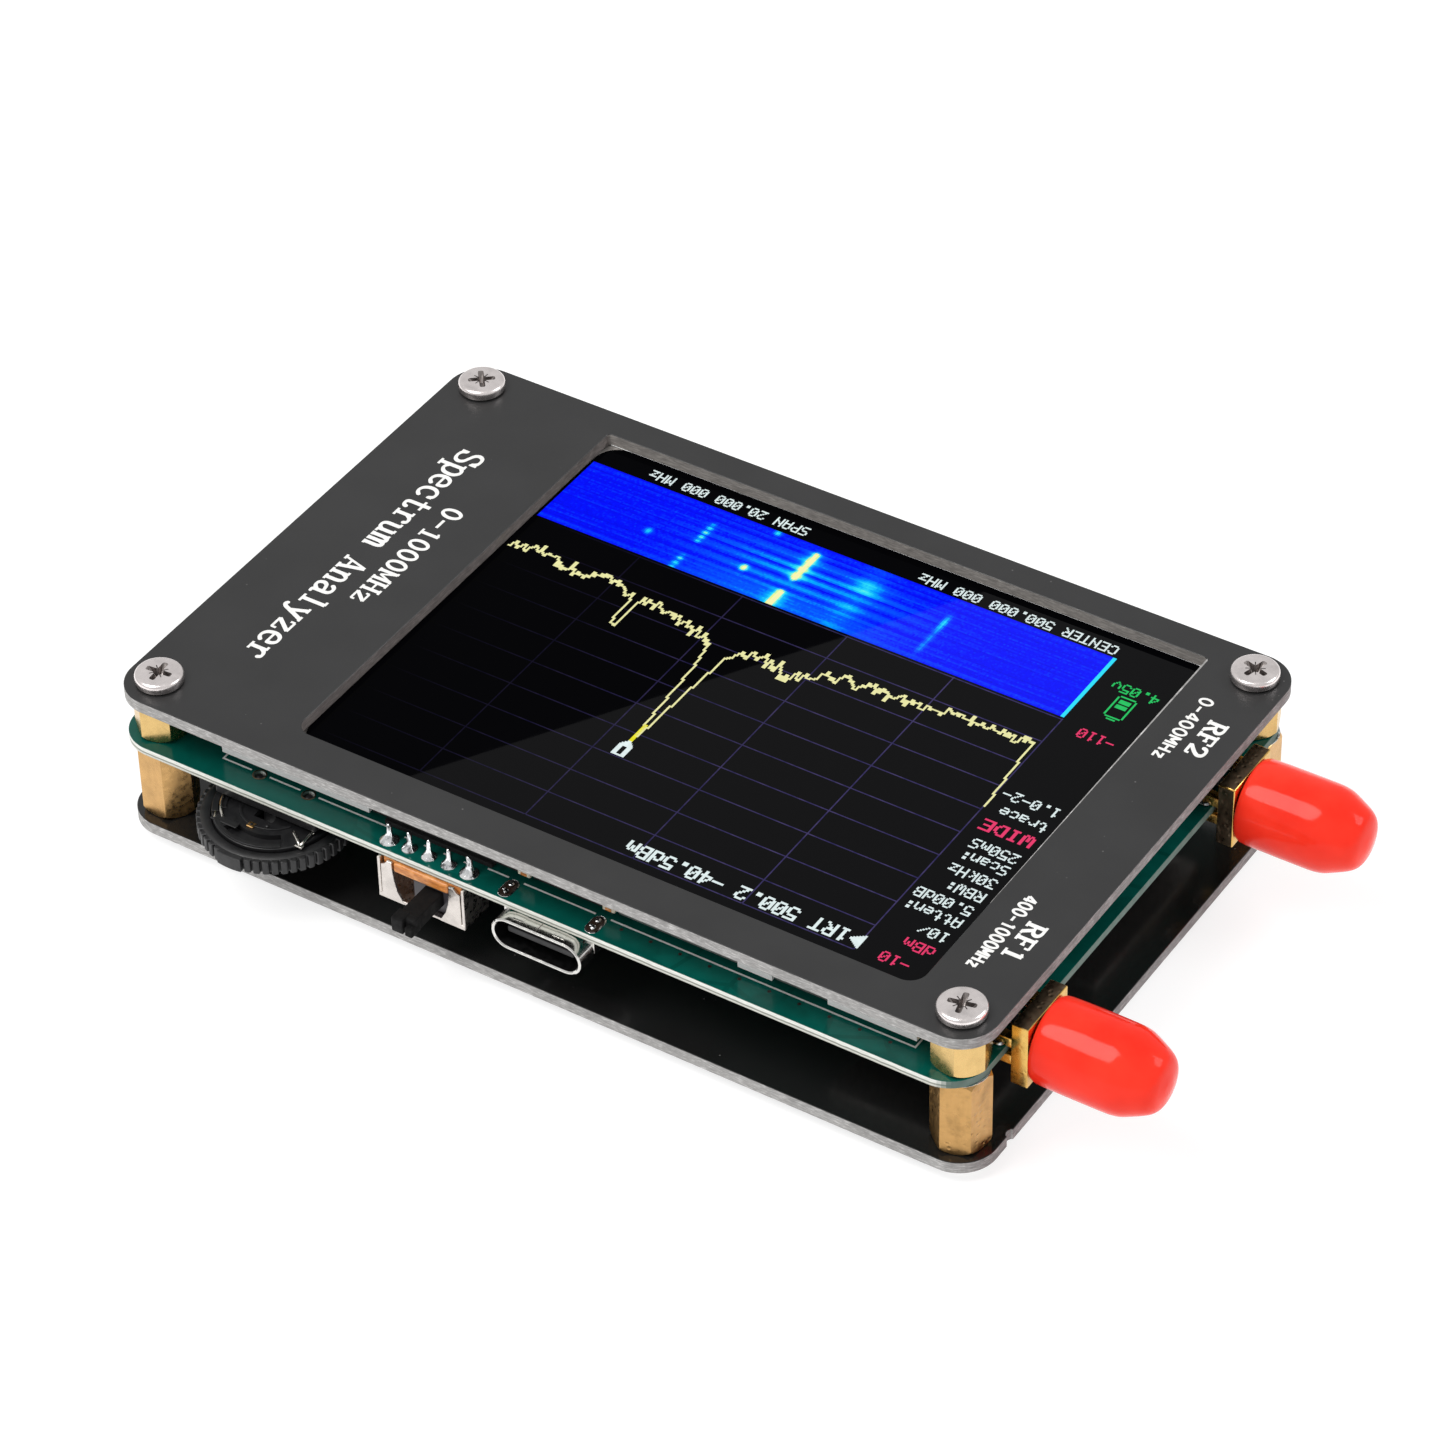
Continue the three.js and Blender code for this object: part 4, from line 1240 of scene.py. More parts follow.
# trace: a noisy floor, a small peak and a tall one, drawn in screen columns
KN = [(-25.8, 8.2), (-22, 8.6), (-19.6, 7.7), (-18.0, 7.5), (-16.3, 8.5), (-14, 8.0), (-12.75, 7.3), (-12.42, 6.6), (-12.36, 3.15), (-11.80, 3.15), (-11.74, 6.6), (-11.4, 7.3), (-9, 7.0), (-7, 6.8), (-5.4, 6.2), (-3.9, 5.4), (-3.3, 4.7), (-2.85, 2.2), (-2.6, -1.6), (-2.35, -5.0), (-2.0, -8.0), (-1.9, -8.4), (-1.75, -5.4), (-1.55, -1.8), (-1.35, 1.2), (-1.1, 4.2), (-0.4, 5.5), (1.5, 6.2), (2.6, 5.9), (4.4, 5.0), (5.6, 5.6), (7.5, 6.8), (9.5, 7.5), (10.5, 7.2), (12, 7.8), (13.3, 7.3), (15, 7.9), (17, 7.5), (19, 8.2), (21, 8.6), (22.5, 8.0), (23.6, 8.7), (24.6, 8.0), (26.6, 8.5), (27.1, 8.6), (27.25, 3.4), (27.45, 3.2), (27.6, -0.25), (27.8, -0.25)]


def curve_at(x):
    for (a, ya), (b, yb) in zip(KN, KN[1:]):
        if a <= x <= b:
            return ya + (yb - ya) * (x - a) / (b - a)
    return KN[0][1] if x < KN[0][0] else KN[-1][1]


g = Geo()
step = 0.179
xs, prev, k = -25.8, None, 0
rng.seed(11)
wob = 0.0
while xs < 27.75:
    y = curve_at(xs)
    steep = abs(curve_at(xs + step) - y)
    wob = 0.15 * wob + rng.gauss(0, 0.34 if steep < 0.6 else 0.06)
    yy = round((y + wob) / 0.17) * 0.17
    if prev is None:
        prev = yy
    lo_y, hi_y = min(prev, yy), max(prev, yy) + 0.17
    tile(g, px(xs), py(lo_y), px(xs + step * 1.02), py(hi_y), "px_trace")
    prev = yy
    xs += step
g.make("screen_trace", CHASSIS, slot="display_glass")

g = Geo()
tile(g, px(-2.08), py(-9.2), px(-1.72), py(-6.4), "px_yellow")
g.make("screen_trace_peak", CHASSIS, slot="display_glass")

# numbered marker on the peak
g = Geo()
for k, (w, y0, y1) in enumerate(((0.36, -8.9, -9.1), (0.72, -9.1, -9.3), (1.08, -9.3, -9.5), (1.3, -9.5, -9.72))):
    tile(g, px(-1.9 - w / 2), py(y0), px(-1.9 + w / 2), py(y1), "px_white", ZP + 0.004)
tile(g, px(-2.55), py(-11.0), px(-1.25), py(-10.8), "px_white", ZP + 0.004)
tile(g, px(-2.55), py(-10.8), px(-2.12), py(-9.72), "px_white", ZP + 0.004)
tile(g, px(-1.68), py(-10.8), px(-1.25), py(-9.72), "px_white", ZP + 0.004)
g.make("screen_marker", CHASSIS, slot="display_glass")

# waterfall: a grid of tiles whose colour comes from a formula
NX, NY = 300, 48
FX0, FX1, FY0, FY1 = -25.95, 27.75, 12.72, 21.85
rows_noise = [rng.gauss(0, 1) for _ in range(NY)]
cell_noise = [[rng.gauss(0, 1) for _ in range(NX)] for _ in range(NY)]
COLD = ((0.0, (0.0, 0.0, 0.55)), (0.18, (0.0, 0.004, 1.0)), (0.36, (0.0, 0.10, 1.0)), (0.52, (0.0, 0.42, 1.0)), (0.68, (0.03, 0.80, 0.95)), (0.82, (0.30, 0.95, 0.55)), (0.93, (0.80, 0.95, 0.25)), (1.0, (0.95, 0.92, 0.45)))


def heat(v):
    v = max(0.0, min(1.0, v))
    for (a, ca), (b, cb) in zip(COLD, COLD[1:]):
        if v <= b:
            t = (v - a) / (b - a)
            return tuple(p + (q - p) * t for p, q in zip(ca, cb))
    return COLD[-1][1]


def bump1(x, c, w):
    return math.exp(-(((x - c) / w) ** 2))


def soft(y, a, b, w=0.12):
    return 1 / (1 + math.exp(-(y - a) / w)) * 1 / (1 + math.exp((y - b) / w))


def fall(x, y, j, i):
    v = 0.17 + 0.020 * rows_noise[j] + 0.016 * cell_noise[j][i]
    # sweeps with a raised floor towards the peak
    spread = bump1(x, -1.7, 9.0) if x < -1.7 else bump1(x, -1.7, 11.0)
    streaks = soft(y, 15.2, 19.6, 0.7) * (0.5 + 0.5 * math.sin(y * 5.2 + 0.6 * math.sin(y * 2.1)))
    v += 0.40 * spread * streaks
    v += 0.22 * spread * soft(y, 12.2, 14.6, 0.5)
    # wide soft bump beside the peak
    v += 0.20 * bump1(x, 4.4, 1.3) * (0.65 + 0.35 * math.sin(y * 1.7))
    v += 0.24 * bump1(x, 4.5, 1.6) * bump1(y, 18.8, 0.8)
    # the strong carrier, on for two stretches
    on = max(soft(y, 12.4, 14.9), soft(y, 16.6, 20.9))
    v += 0.85 * bump1(x, -1.75, 0.30) * on + 0.30 * bump1(x, -1.75, 0.9) * on
    for cx, a, b, s in ((-11.8, 12.6, 14.7, 0.50), (-11.8, 16.8, 19.7, 0.55), (-16.3, 15.6, 16.3, 0.48), (-6.3, 15.55, 16.3, 0.85), (-6.3, 21.3, 21.8, 0.6)):
        dash = 1.0 if b - a < 1 else 0.65 + 0.35 * math.sin(y * 9.0)
        v += s * bump1(x, cx, 0.34) * soft(y, a, b) * dash
    v += 0.42 * bump1(x, 12.6, 0.28) * soft(y, 13.8, 19.3, 0.2) * (0.55 + 0.45 * soft(y, 17.4, 20))
    if x > FX1 - 0.36:
        v = 0.66
    return v


verts, faces, cols = [], [], []
for j in range(NY + 1):
    for i in range(NX + 1):
        verts.append((px(FX0 + (FX1 - FX0) * i / NX), py(FY0 + (FY1 - FY0) * j / NY), ZP + ZPT))
top_n = len(verts)
verts += [(v[0], v[1], ZP) for v in verts]
for j in range(NY):
    for i in range(NX):
        a = j * (NX + 1) + i
        faces.append((a, a + 1, a + NX + 2, a + NX + 1))
        cx = FX0 + (FX1 - FX0) * (i + 0.5) / NX
        cy = FY0 + (FY1 - FY0) * (j + 0.5) / NY
        cols.append(heat(fall(cx, cy, j, i)))
rim = [i for i in range(NX + 1)] + [j * (NX + 1) + NX for j in range(1, NY + 1)]
rim += [NY * (NX + 1) + i for i in range(NX - 1, -1, -1)] + [j * (NX + 1) for j in range(NY - 1, 0, -1)]
for a, b in zip(rim, rim[1:] + rim[:1]):
    faces.append((b, a, a + top_n, b + top_n))
    cols.append((0.0, 0.0, 0.6))
faces.append(tuple(a + top_n for a in reversed(rim)))
cols.append((0.0, 0.0, 0.6))
used = sorted({i for f in faces for i in f})
remap = {o: n for n, o in enumerate(used)}
g = Geo()
g.add([verts[i] for i in used], [tuple(remap[i] for i in f) for f in faces], "px_fall")
o = g.make("screen_waterfall", CHASSIS, slot="display_glass")
att = o.data.color_attributes.new("tone", "FLOAT_COLOR", "CORNER")
data = []
for p, c in zip(o.data.polygons, cols):
    data += [c[0], c[1], c[2], 1.0] * p.loop_total
att.data.foreach_set("color", data)

px, py = cover_px, cover_py

# ------------------------------------------------------------------ printed legend on the cover


def arc_pts(pts, n=5):
    """a smooth line through pts"""
    out = []
    for i in range(len(pts) - 1):
        p0, p1, p2, p3 = pts[max(0, i - 1)], pts[i], pts[i + 1], pts[min(len(pts) - 1, i + 2)]
        for k in range(n):
            t = k / n
            out.append(tuple(0.5 * (2 * b + (c - a) * t + (2 * a - 5 * b + 4 * c - d) * t * t + (3 * b - a - 3 * c + d) * t**3) for a, b, c, d in zip(p0, p1, p2, p3)))
    out.append(pts[-1])
    return out


def oval(cx, cy, rx, ry, n=22):
    return [(cx + rx * math.cos(2 * PI * k / n), cy + ry * math.sin(2 * PI * k / n)) for k in range(n + 1)]


# strokes of each letter in a cell 0.75 wide and 1 high: c = curve, l = straight, s = thin slab
LET = {
    "S": [("c", [(0.62, 0.78), (0.52, 0.93), (0.36, 0.97), (0.18, 0.92), (0.10, 0.76), (0.18, 0.60), (0.38, 0.50), (0.58, 0.40), (0.66, 0.23), (0.57, 0.07), (0.37, 0.02), (0.18, 0.08), (0.10, 0.24)]), ("s", [(0.655, 0.98), (0.655, 0.70)]), ("s", [(0.075, 0.02), (0.075, 0.30)])],
    "p": [("l", [(0.2, 0.68), (0.2, -0.28)]), ("c", [(0.2, 0.56), (0.34, 0.69), (0.50, 0.70), (0.64, 0.56), (0.67, 0.35), (0.62, 0.13), (0.48, 0.01), (0.33, 0.02), (0.2, 0.14)]), ("s", [(0.04, 0.67), (0.22, 0.67)]), ("s", [(0.05, -0.28), (0.37, -0.28)])],
    "e": [("s", [(0.13, 0.38), (0.63, 0.38)]), ("c", [(0.62, 0.38), (0.60, 0.56), (0.50, 0.68), (0.37, 0.70), (0.23, 0.65), (0.13, 0.50), (0.12, 0.30), (0.19, 0.11), (0.34, 0.01), (0.50, 0.02), (0.64, 0.14)])],
    "c": [("c", [(0.60, 0.52), (0.53, 0.66), (0.38, 0.70), (0.24, 0.65), (0.13, 0.50), (0.12, 0.28), (0.20, 0.10), (0.35, 0.01), (0.50, 0.03), (0.63, 0.15)]), ("s", [(0.61, 0.67), (0.61, 0.46)])],
    "t": [("c", [(0.32, 0.95), (0.32, 0.5), (0.32, 0.12), (0.37, 0.02), (0.47, 0.0), (0.58, 0.05), (0.62, 0.15)]), ("s", [(0.10, 0.66), (0.60, 0.66)])],
    "r": [("l", [(0.24, 0.67), (0.24, 0.02)]), ("c", [(0.24, 0.46), (0.34, 0.62), (0.47, 0.69), (0.60, 0.68), (0.66, 0.57)]), ("s", [(0.07, 0.66), (0.26, 0.66)]), ("s", [(0.07, 0.03), (0.44, 0.03)])],
    "u": [("c", [(0.17, 0.66), (0.17, 0.4), (0.17, 0.18), (0.22, 0.05), (0.34, 0.0), (0.47, 0.05), (0.56, 0.17)]), ("l", [(0.56, 0.66), (0.56, 0.02)]), ("s", [(0.03, 0.66), (0.19, 0.66)]), ("s", [(0.42, 0.66), (0.58, 0.66)]), ("s", [(0.54, 0.03), (0.72, 0.03)])],
    "m": [("l", [(0.12, 0.66), (0.12, 0.02)]), ("c", [(0.12, 0.50), (0.20, 0.67), (0.31, 0.67), (0.37, 0.52), (0.37, 0.3), (0.37, 0.02)]), ("c", [(0.37, 0.50), (0.45, 0.67), (0.56, 0.67), (0.62, 0.52), (0.62, 0.3), (0.62, 0.02)]), ("s", [(0.01, 0.66), (0.13, 0.66)]), ("s", [(0.02, 0.03), (0.22, 0.03)]), ("s", [(0.28, 0.03), (0.46, 0.03)]), ("s", [(0.53, 0.03), (0.73, 0.03)])],
    "A": [("s", [(0.12, 0.03), (0.37, 0.97)]), ("l", [(0.39, 0.97), (0.62, 0.03)]), ("s", [(0.20, 0.32), (0.54, 0.32)]), ("s", [(0.01, 0.03), (0.24, 0.03)]), ("s", [(0.47, 0.03), (0.74, 0.03)])],
    "n": [("l", [(0.18, 0.66), (0.18, 0.02)]), ("c", [(0.18, 0.48), (0.29, 0.66), (0.43, 0.69), (0.54, 0.60), (0.57, 0.42), (0.57, 0.25), (0.57, 0.02)]), ("s", [(0.04, 0.66), (0.20, 0.66)]), ("s", [(0.05, 0.03), (0.32, 0.03)]), ("s", [(0.44, 0.03), (0.71, 0.03)])],
    "a": [("c", [(0.14, 0.56), (0.24, 0.68), (0.40, 0.70), (0.52, 0.62), (0.55, 0.48), (0.55, 0.28), (0.56, 0.08), (0.62, 0.02), (0.71, 0.03)]), ("c", [(0.55, 0.42), (0.38, 0.40), (0.20, 0.34), (0.12, 0.20), (0.17, 0.05), (0.30, 0.0), (0.44, 0.06), (0.55, 0.19)])],
    "l": [("l", [(0.38, 0.96), (0.38, 0.02)]), ("s", [(0.20, 0.95), (0.40, 0.95)]), ("s", [(0.18, 0.03), (0.58, 0.03)])],
    "y": [("l", [(0.14, 0.66), (0.38, 0.04)]), ("c", [(0.64, 0.66), (0.50, 0.34), (0.38, 0.04), (0.29, -0.17), (0.18, -0.27), (0.09, -0.21)]), ("s", [(0.02, 0.66), (0.27, 0.66)]), ("s", [(0.50, 0.66), (0.75, 0.66)])],
    "z": [("s", [(0.14, 0.65), (0.62, 0.65)]), ("l", [(0.60, 0.65), (0.14, 0.04)]), ("s", [(0.12, 0.04), (0.64, 0.04)]), ("s", [(0.13, 0.66), (0.13, 0.48)]), ("s", [(0.63, 0.03), (0.63, 0.22)])],
    "0": [("o", (0.37, 0.49, 0.24, 0.46))],
    "1": [("l", [(0.38, 0.96), (0.38, 0.02)]), ("s", [(0.20, 0.84), (0.38, 0.95)]), ("s", [(0.18, 0.03), (0.58, 0.03)])],
    "2": [("c", [(0.13, 0.72), (0.19, 0.90), (0.37, 0.97), (0.56, 0.90), (0.62, 0.72), (0.54, 0.52), (0.34, 0.28), (0.13, 0.07)]), ("l", [(0.11, 0.05), (0.64, 0.05)]), ("s", [(0.64, 0.03), (0.64, 0.24)])],
    "-": [("l", [(0.10, 0.45), (0.64, 0.45)])],
    "M": [("l", [(0.12, 0.96), (0.12, 0.02)]), ("l", [(0.62, 0.96), (0.62, 0.02)]), ("s", [(0.13, 0.95), (0.37, 0.22)]), ("s", [(0.61, 0.95), (0.37, 0.22)]), ("s", [(0.01, 0.96), (0.15, 0.96)]), ("s", [(0.60, 0.96), (0.73, 0.96)]), ("s", [(0.01, 0.03), (0.24, 0.03)]), ("s", [(0.50, 0.03), (0.74, 0.03)])],
    "H": [("l", [(0.15, 0.96), (0.15, 0.02)]), ("l", [(0.60, 0.96), (0.60, 0.02)]), ("s", [(0.15, 0.50), (0.60, 0.50)])] + [("s", [(a, b), (a + 0.27, b)]) for a in (0.01, 0.47) for b in (0.03, 0.96)],
    "R": [("l", [(0.17, 0.96), (0.17, 0.02)]), ("c", [(0.17, 0.94), (0.40, 0.95), (0.56, 0.88), (0.62, 0.73), (0.55, 0.57), (0.40, 0.50), (0.17, 0.49)]), ("l", [(0.38, 0.50), (0.62, 0.04)]), ("s", [(0.02, 0.96), (0.2, 0.96)]), ("s", [(0.02, 0.03), (0.32, 0.03)]), ("s", [(0.54, 0.03), (0.74, 0.03)])],
    "F": [("l", [(0.19, 0.96), (0.19, 0.02)]), ("s", [(0.19, 0.94), (0.66, 0.94)]), ("s", [(0.19, 0.51), (0.50, 0.51)]), ("s", [(0.65, 0.96), (0.65, 0.72)]), ("s", [(0.50, 0.62), (0.50, 0.40)]), ("s", [(0.03, 0.96), (0.2, 0.96)]), ("s", [(0.03, 0.03), (0.36, 0.03)])],
}


# plain letters for the two small ranges
PLAIN = {
    "0": [("o", (0.37, 0.49, 0.25, 0.46))],
    "1": [("l", [(0.42, 0.96), (0.42, 0.03)]), ("l", [(0.22, 0.80), (0.42, 0.94)])],
    "4": [("l", [(0.52, 0.96), (0.52, 0.03)]), ("l", [(0.50, 0.94), (0.11, 0.29)]), ("l", [(0.11, 0.27), (0.68, 0.27)])],
    "-": [("l", [(0.12, 0.42), (0.60, 0.42)])],
    "M": [("l", [(0.11, 0.96), (0.11, 0.03)]), ("l", [(0.64, 0.96), (0.64, 0.03)]), ("l", [(0.12, 0.94), (0.37, 0.30)]), ("l", [(0.63, 0.94), (0.37, 0.30)])],
    "H": [("l", [(0.13, 0.96), (0.13, 0.03)]), ("l", [(0.62, 0.96), (0.62, 0.03)]), ("l", [(0.13, 0.50), (0.62, 0.50)])],
    "z": [("l", [(0.14, 0.63), (0.58, 0.63)]), ("l", [(0.57, 0.62), (0.14, 0.06)]), ("l", [(0.13, 0.05), (0.60, 0.05)])],
}


def slab_text(name, text, x_base, height, y_start, y_end, thick=0.165, thin=0.11, slab=0.095, letters=None):
    """bold slab-serif print: baseline at x_base, letter tops towards +X, running from y_start to y_end"""
    n = len(text)
    adv = (y_start - y_end) / (n - 0.08)
    kx = adv / 0.755
    V, F = [], []

    def poly(pts):
        # keep every outline anticlockwise
        a = sum(p[0] * q[1] - q[0] * p[1] for p, q in zip(pts, pts[1:] + pts[:1]))
        if abs(a) < 1e-9:
            return
        if a < 0:
            pts = pts[::-1]
        F.append(list(range(len(V), len(V) + len(pts))))
        V.extend(Vector(p) for p in pts)

    for i, ch in enumerate(text):
        for st in (letters or LET).get(ch, []):
            kind, pts = st
            if kind == "o":
                pts = oval(*pts)
            elif kind == "c":
                pts = arc_pts(pts, 4)
            P = [Vector((i * adv + p[0] * kx, p[1] * height)) for p in pts]
            W = []
            for a, b in zip(P, P[1:]):
                d = (b - a).normalized()
                W.append((slab if kind == "s" else thin + (thick - thin) * abs(d.y)) * height)
            for k, (a, b) in enumerate(zip(P, P[1:])):
                d = (b - a).normalized()
                q = Vector((-d.y, d.x)) * W[k] / 2
                poly([tuple(a + q), tuple(b + q), tuple(b - q), tuple(a - q)])
                if kind != "s" and (k or kind == "o"):
                    r = (W[k] + W[k - 1]) / 4
                    poly([(a.x + r * math.cos(PI * m / 6 + 0.13), a.y + r * math.sin(PI * m / 6 + 0.13)) for m in range(12)])
    out = geometry.delaunay_2d_cdt(V, [], F, 0, 1e-6, True)
    ov, tri, src = out[0], out[2], out[5]
    tris = [t for t, o in zip(tri, src) if o]
    top, low = ZT1 + 0.020, ZT1 + 0.004
    bm = bmesh.new()
    y0 = py(y_start)
    up = {}

    def vert(i, z):
        if (i, z) not in up:
            up[(i, z)] = bm.verts.new(Vector((px(x_base) + ov[i][1], y0 - ov[i][0], z)) * MM)
        return up[(i, z)]

    edges = {}
    for t in tris:
        for a, b in zip(t, t[1:] + t[:1]):
            edges[(a, b)] = 1
    for t in tris:
        bm.faces.new([vert(i, top) for i in t])
        bm.faces.new([vert(i, low) for i in reversed(t)])
    for a, b in edges:
        if (b, a) not in edges:
            bm.faces.new([vert(b, top), vert(a, top), vert(a, low), vert(b, low)])
    bmesh.ops.recalc_face_normals(bm, faces=list(bm.faces))
    me = bpy.data.meshes.new(name)
    bm.to_mesh(me)
    bm.free()
    me.materials.append(M["print"])
    ob = bpy.data.objects.new(name, me)
    bpy.context.scene.collection.objects.link(ob)
    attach(ob, CHASSIS)
    return ob


slab_text("legend_title", "Spectrum Analyzer", -36.05, 2.57, 16.0, -17.5)
slab_text("legend_range", "0-1000MHz", -32.45, 1.95, 8.4, -6.75, 0.19, 0.14, 0.11)
slab_text("legend_port_2", "RF2", 39.25, 1.75, 17.58, 12.72, 0.24, 0.15, 0.13)
slab_text("legend_port_2_range", "0-400MHz", 37.17, 1.25, 19.92, 10.83, 0.20, 0.18, 0.18, PLAIN)
slab_text("legend_port_1", "RF1", 38.92, 1.75, -12.17, -17.08, 0.24, 0.15, 0.13)
slab_text("legend_port_1_range", "400-1000MHz", 37.08, 1.25, -9.5, -19.42, 0.20, 0.18, 0.18, PLAIN)

# ------------------------------------------------------------------ coaxial connectors
for i in (1, 2):
    lo, hi = mmbox("sma_body_%d" % i)
    yc = (lo[1] + hi[1]) / 2
    zc = (ZM0 + ZM1) / 2
    f = 6.35 / 2
    fx0, fx1 = px(42.55), px(44.15)
    g = Geo()
    g.box(fx0, yc - f, zc - f, fx1, yc + f, zc + f, "gold", 0.13, 2)
    # file marks and painted reflection: a slightly proud, darker, pitted skin on the flange's upper and lower side; its
    # darkness stands in for the dark boards mirrored there
    for s in (-1, 1):
        z0 = zc + s * f
        g.box(fx0 + 0.10, yc - f + 0.12, min(z0, z0 + s * 0.012), fx1 - 0.10, yc + f - 0.12, max(z0, z0 + s * 0.012), "gold_dark", 0)
    # painted shade: the second flange's -Y face also gets the dark skin
    if i == 2:
        g.box(fx0 + 0.10, yc - f - 0.010, zc - f + 0.12, fx1 - 0.10, yc - f, zc + f - 0.12, "gold_dark", 0)
    for s in (-1, 1):
        for z0, z1 in ((ZM1 + 0.02, ZM1 + 1.0), (ZM0 - 1.0, ZM0 - 0.02)):
            g.box(PX1 - 4.3, yc + s * 2.55 - 0.5, z0, fx0 + 0.2, yc + s * 2.55 + 0.5, z1, "gold", 0.12, 2)
    # barrel with a real helical thread, tube wall closed at both ends
    x0, x1 = fx1 - 0.2, hi[0]
    NA, pitch, R, depth = 40, 0.705, 3.12, 0.30
    steps = 84
    vv, ff = [], []
    for k in range(steps + 1):
        x = x0 + (x1 - x0) * k / steps
        for q in range(NA):
            a = 2 * PI * q / NA
            ph = ((x - x0) / pitch - a / (2 * PI)) % 1.0
            tri = abs(ph * 2 - 1)
            tri = max(0.0, min(1.0, (tri - 0.12) / 0.70))
            fade = min(1.0, max(0.0, (x - x0 - 1.3) / 0.5)) * min(1.0, max(0.0, (x1 - x) / 0.45))
            r = R - depth * tri * fade - 0.28 * max(0.0, 1 - (x1 - x) / 0.35) - (0.22 if x - x0 < 1.2 else 0.0)
            vv.append((x, yc + r * math.cos(a), zc + r * math.sin(a)))
    inner = [(x1, 2.4), (x1 - 0.12, 2.32), (x1 - 2.0, 2.32), (x1 - 2.05, 2.04), (x0, 2.04)]
    for x, r in inner:
        for q in range(NA):
            a = 2 * PI * q / NA
            vv.append((x, yc + r * math.cos(a), zc + r * math.sin(a)))
    rows = steps + 1 + len(inner)
    for k in range(rows):
        k2 = (k + 1) % rows
        for q in range(NA):
            q2 = (q + 1) % NA
            ff.append((k * NA + q, k2 * NA + q, k2 * NA + q2, k * NA + q2))
    g.add(vv, ff, "gold", True)
    o = g.make("sma_connector_%d" % i, CHASSIS, "sma_body_%d" % i, "gold_plated_brass")
    o.data.set_sharp_from_angle(angle=math.radians(45))

    g = Geo()
    g.lathe([(0.72, 43.6 + OX), (1.98, 43.6 + OX), (1.98, x1 - 2.3), (1.9, x1 - 2.15), (0.78, x1 - 2.15), (0.72, x1 - 2.25), (0.72, 43.6 + OX)], "ptfe", 40, at(0, yc, zc, 0, False, "X"))
    o = g.make("sma_dielectric_%d" % i, CHASSIS, "sma_insulator_%d" % i, "white_insulator")
    o.data.set_sharp_from_angle(angle=math.radians(40))

    # centre contact: a tube with four slits at its mouth and a flat tail soldered to the board
    a = Geo()
    xe = x1 - 1.0
    a.lathe([(0, 43.1 + OX), (0.6, 43.1 + OX), (0.63, 43.2 + OX), (0.63, xe - 0.12), (0.55, xe), (0.46, xe), (0.46, xe - 2.4), (0, xe - 2.5)], "gold", 28, at(0, yc, zc, 0, False, "X"))
    b = Geo()
    b.box(xe - 1.6, yc - 0.06, zc - 1, xe + 1, yc + 0.06, zc + 1, "gold", 0)
    g = boolean(a, b)
    b = Geo()
    b.box(xe - 1.6, yc - 1, zc - 0.06, xe + 1, yc + 1, zc + 0.06, "gold", 0)
    g = boolean(g, b)
    g.box(40.9 + OX, yc - 0.4, ZM1 + 0.02, 43.4 + OX, yc + 0.4, ZM1 + 0.2, "gold", 0.05)
    g.prism(rrect(40.1 + OX, yc - 0.75, 41.9 + OX, yc + 0.75, 0.5, 6), ZM1 + 0.001, ZM1 + 0.35, "tin", 0.28, 3, True)
    o = g.make("sma_pin_%d" % i, CHASSIS, "sma_contact_%d" % i, "gold_plated_brass")
    o.data.set_sharp_from_angle(angle=math.radians(40))

    # solder that holds the legs, on both faces of the board
    g = Geo()
    for s in (-1, 1):
        for z0, z1 in ((ZM1 + 0.001, ZM1 + 0.42), (ZM0 - 0.42, ZM0 - 0.001)):
            g.prism(rrect(PX1 - 4.9, yc + s * 2.55 - 0.95, MB_HI[0] - 0.1, yc + s * 2.55 + 0.95, 0.6, 6), z0, z1, "tin", 0.2, 3, True)
    g.make("sma_solder_%d" % i, CHASSIS, slot="tinned_steel")

# ------------------------------------------------------------------ dust caps


def smooth_profile(p, n=4):
    out = []
    for i in range(len(p) - 1):
        p0, p1, p2, p3 = p[max(0, i - 1)], p[i], p[i + 1], p[min(len(p) - 1, i + 2)]
        for k in range(n):
            t = k / n
            out.append(
                tuple(
                    0.5 * (2 * b + (c - a) * t + (2 * a - 5 * b + 4 * c - d) * t * t + (3 * b - a - 3 * c + d) * t**3)
                    for a, b, c, d in zip(p0, p1, p2, p3)
                )
            )
    out.append(p[-1])
    return out


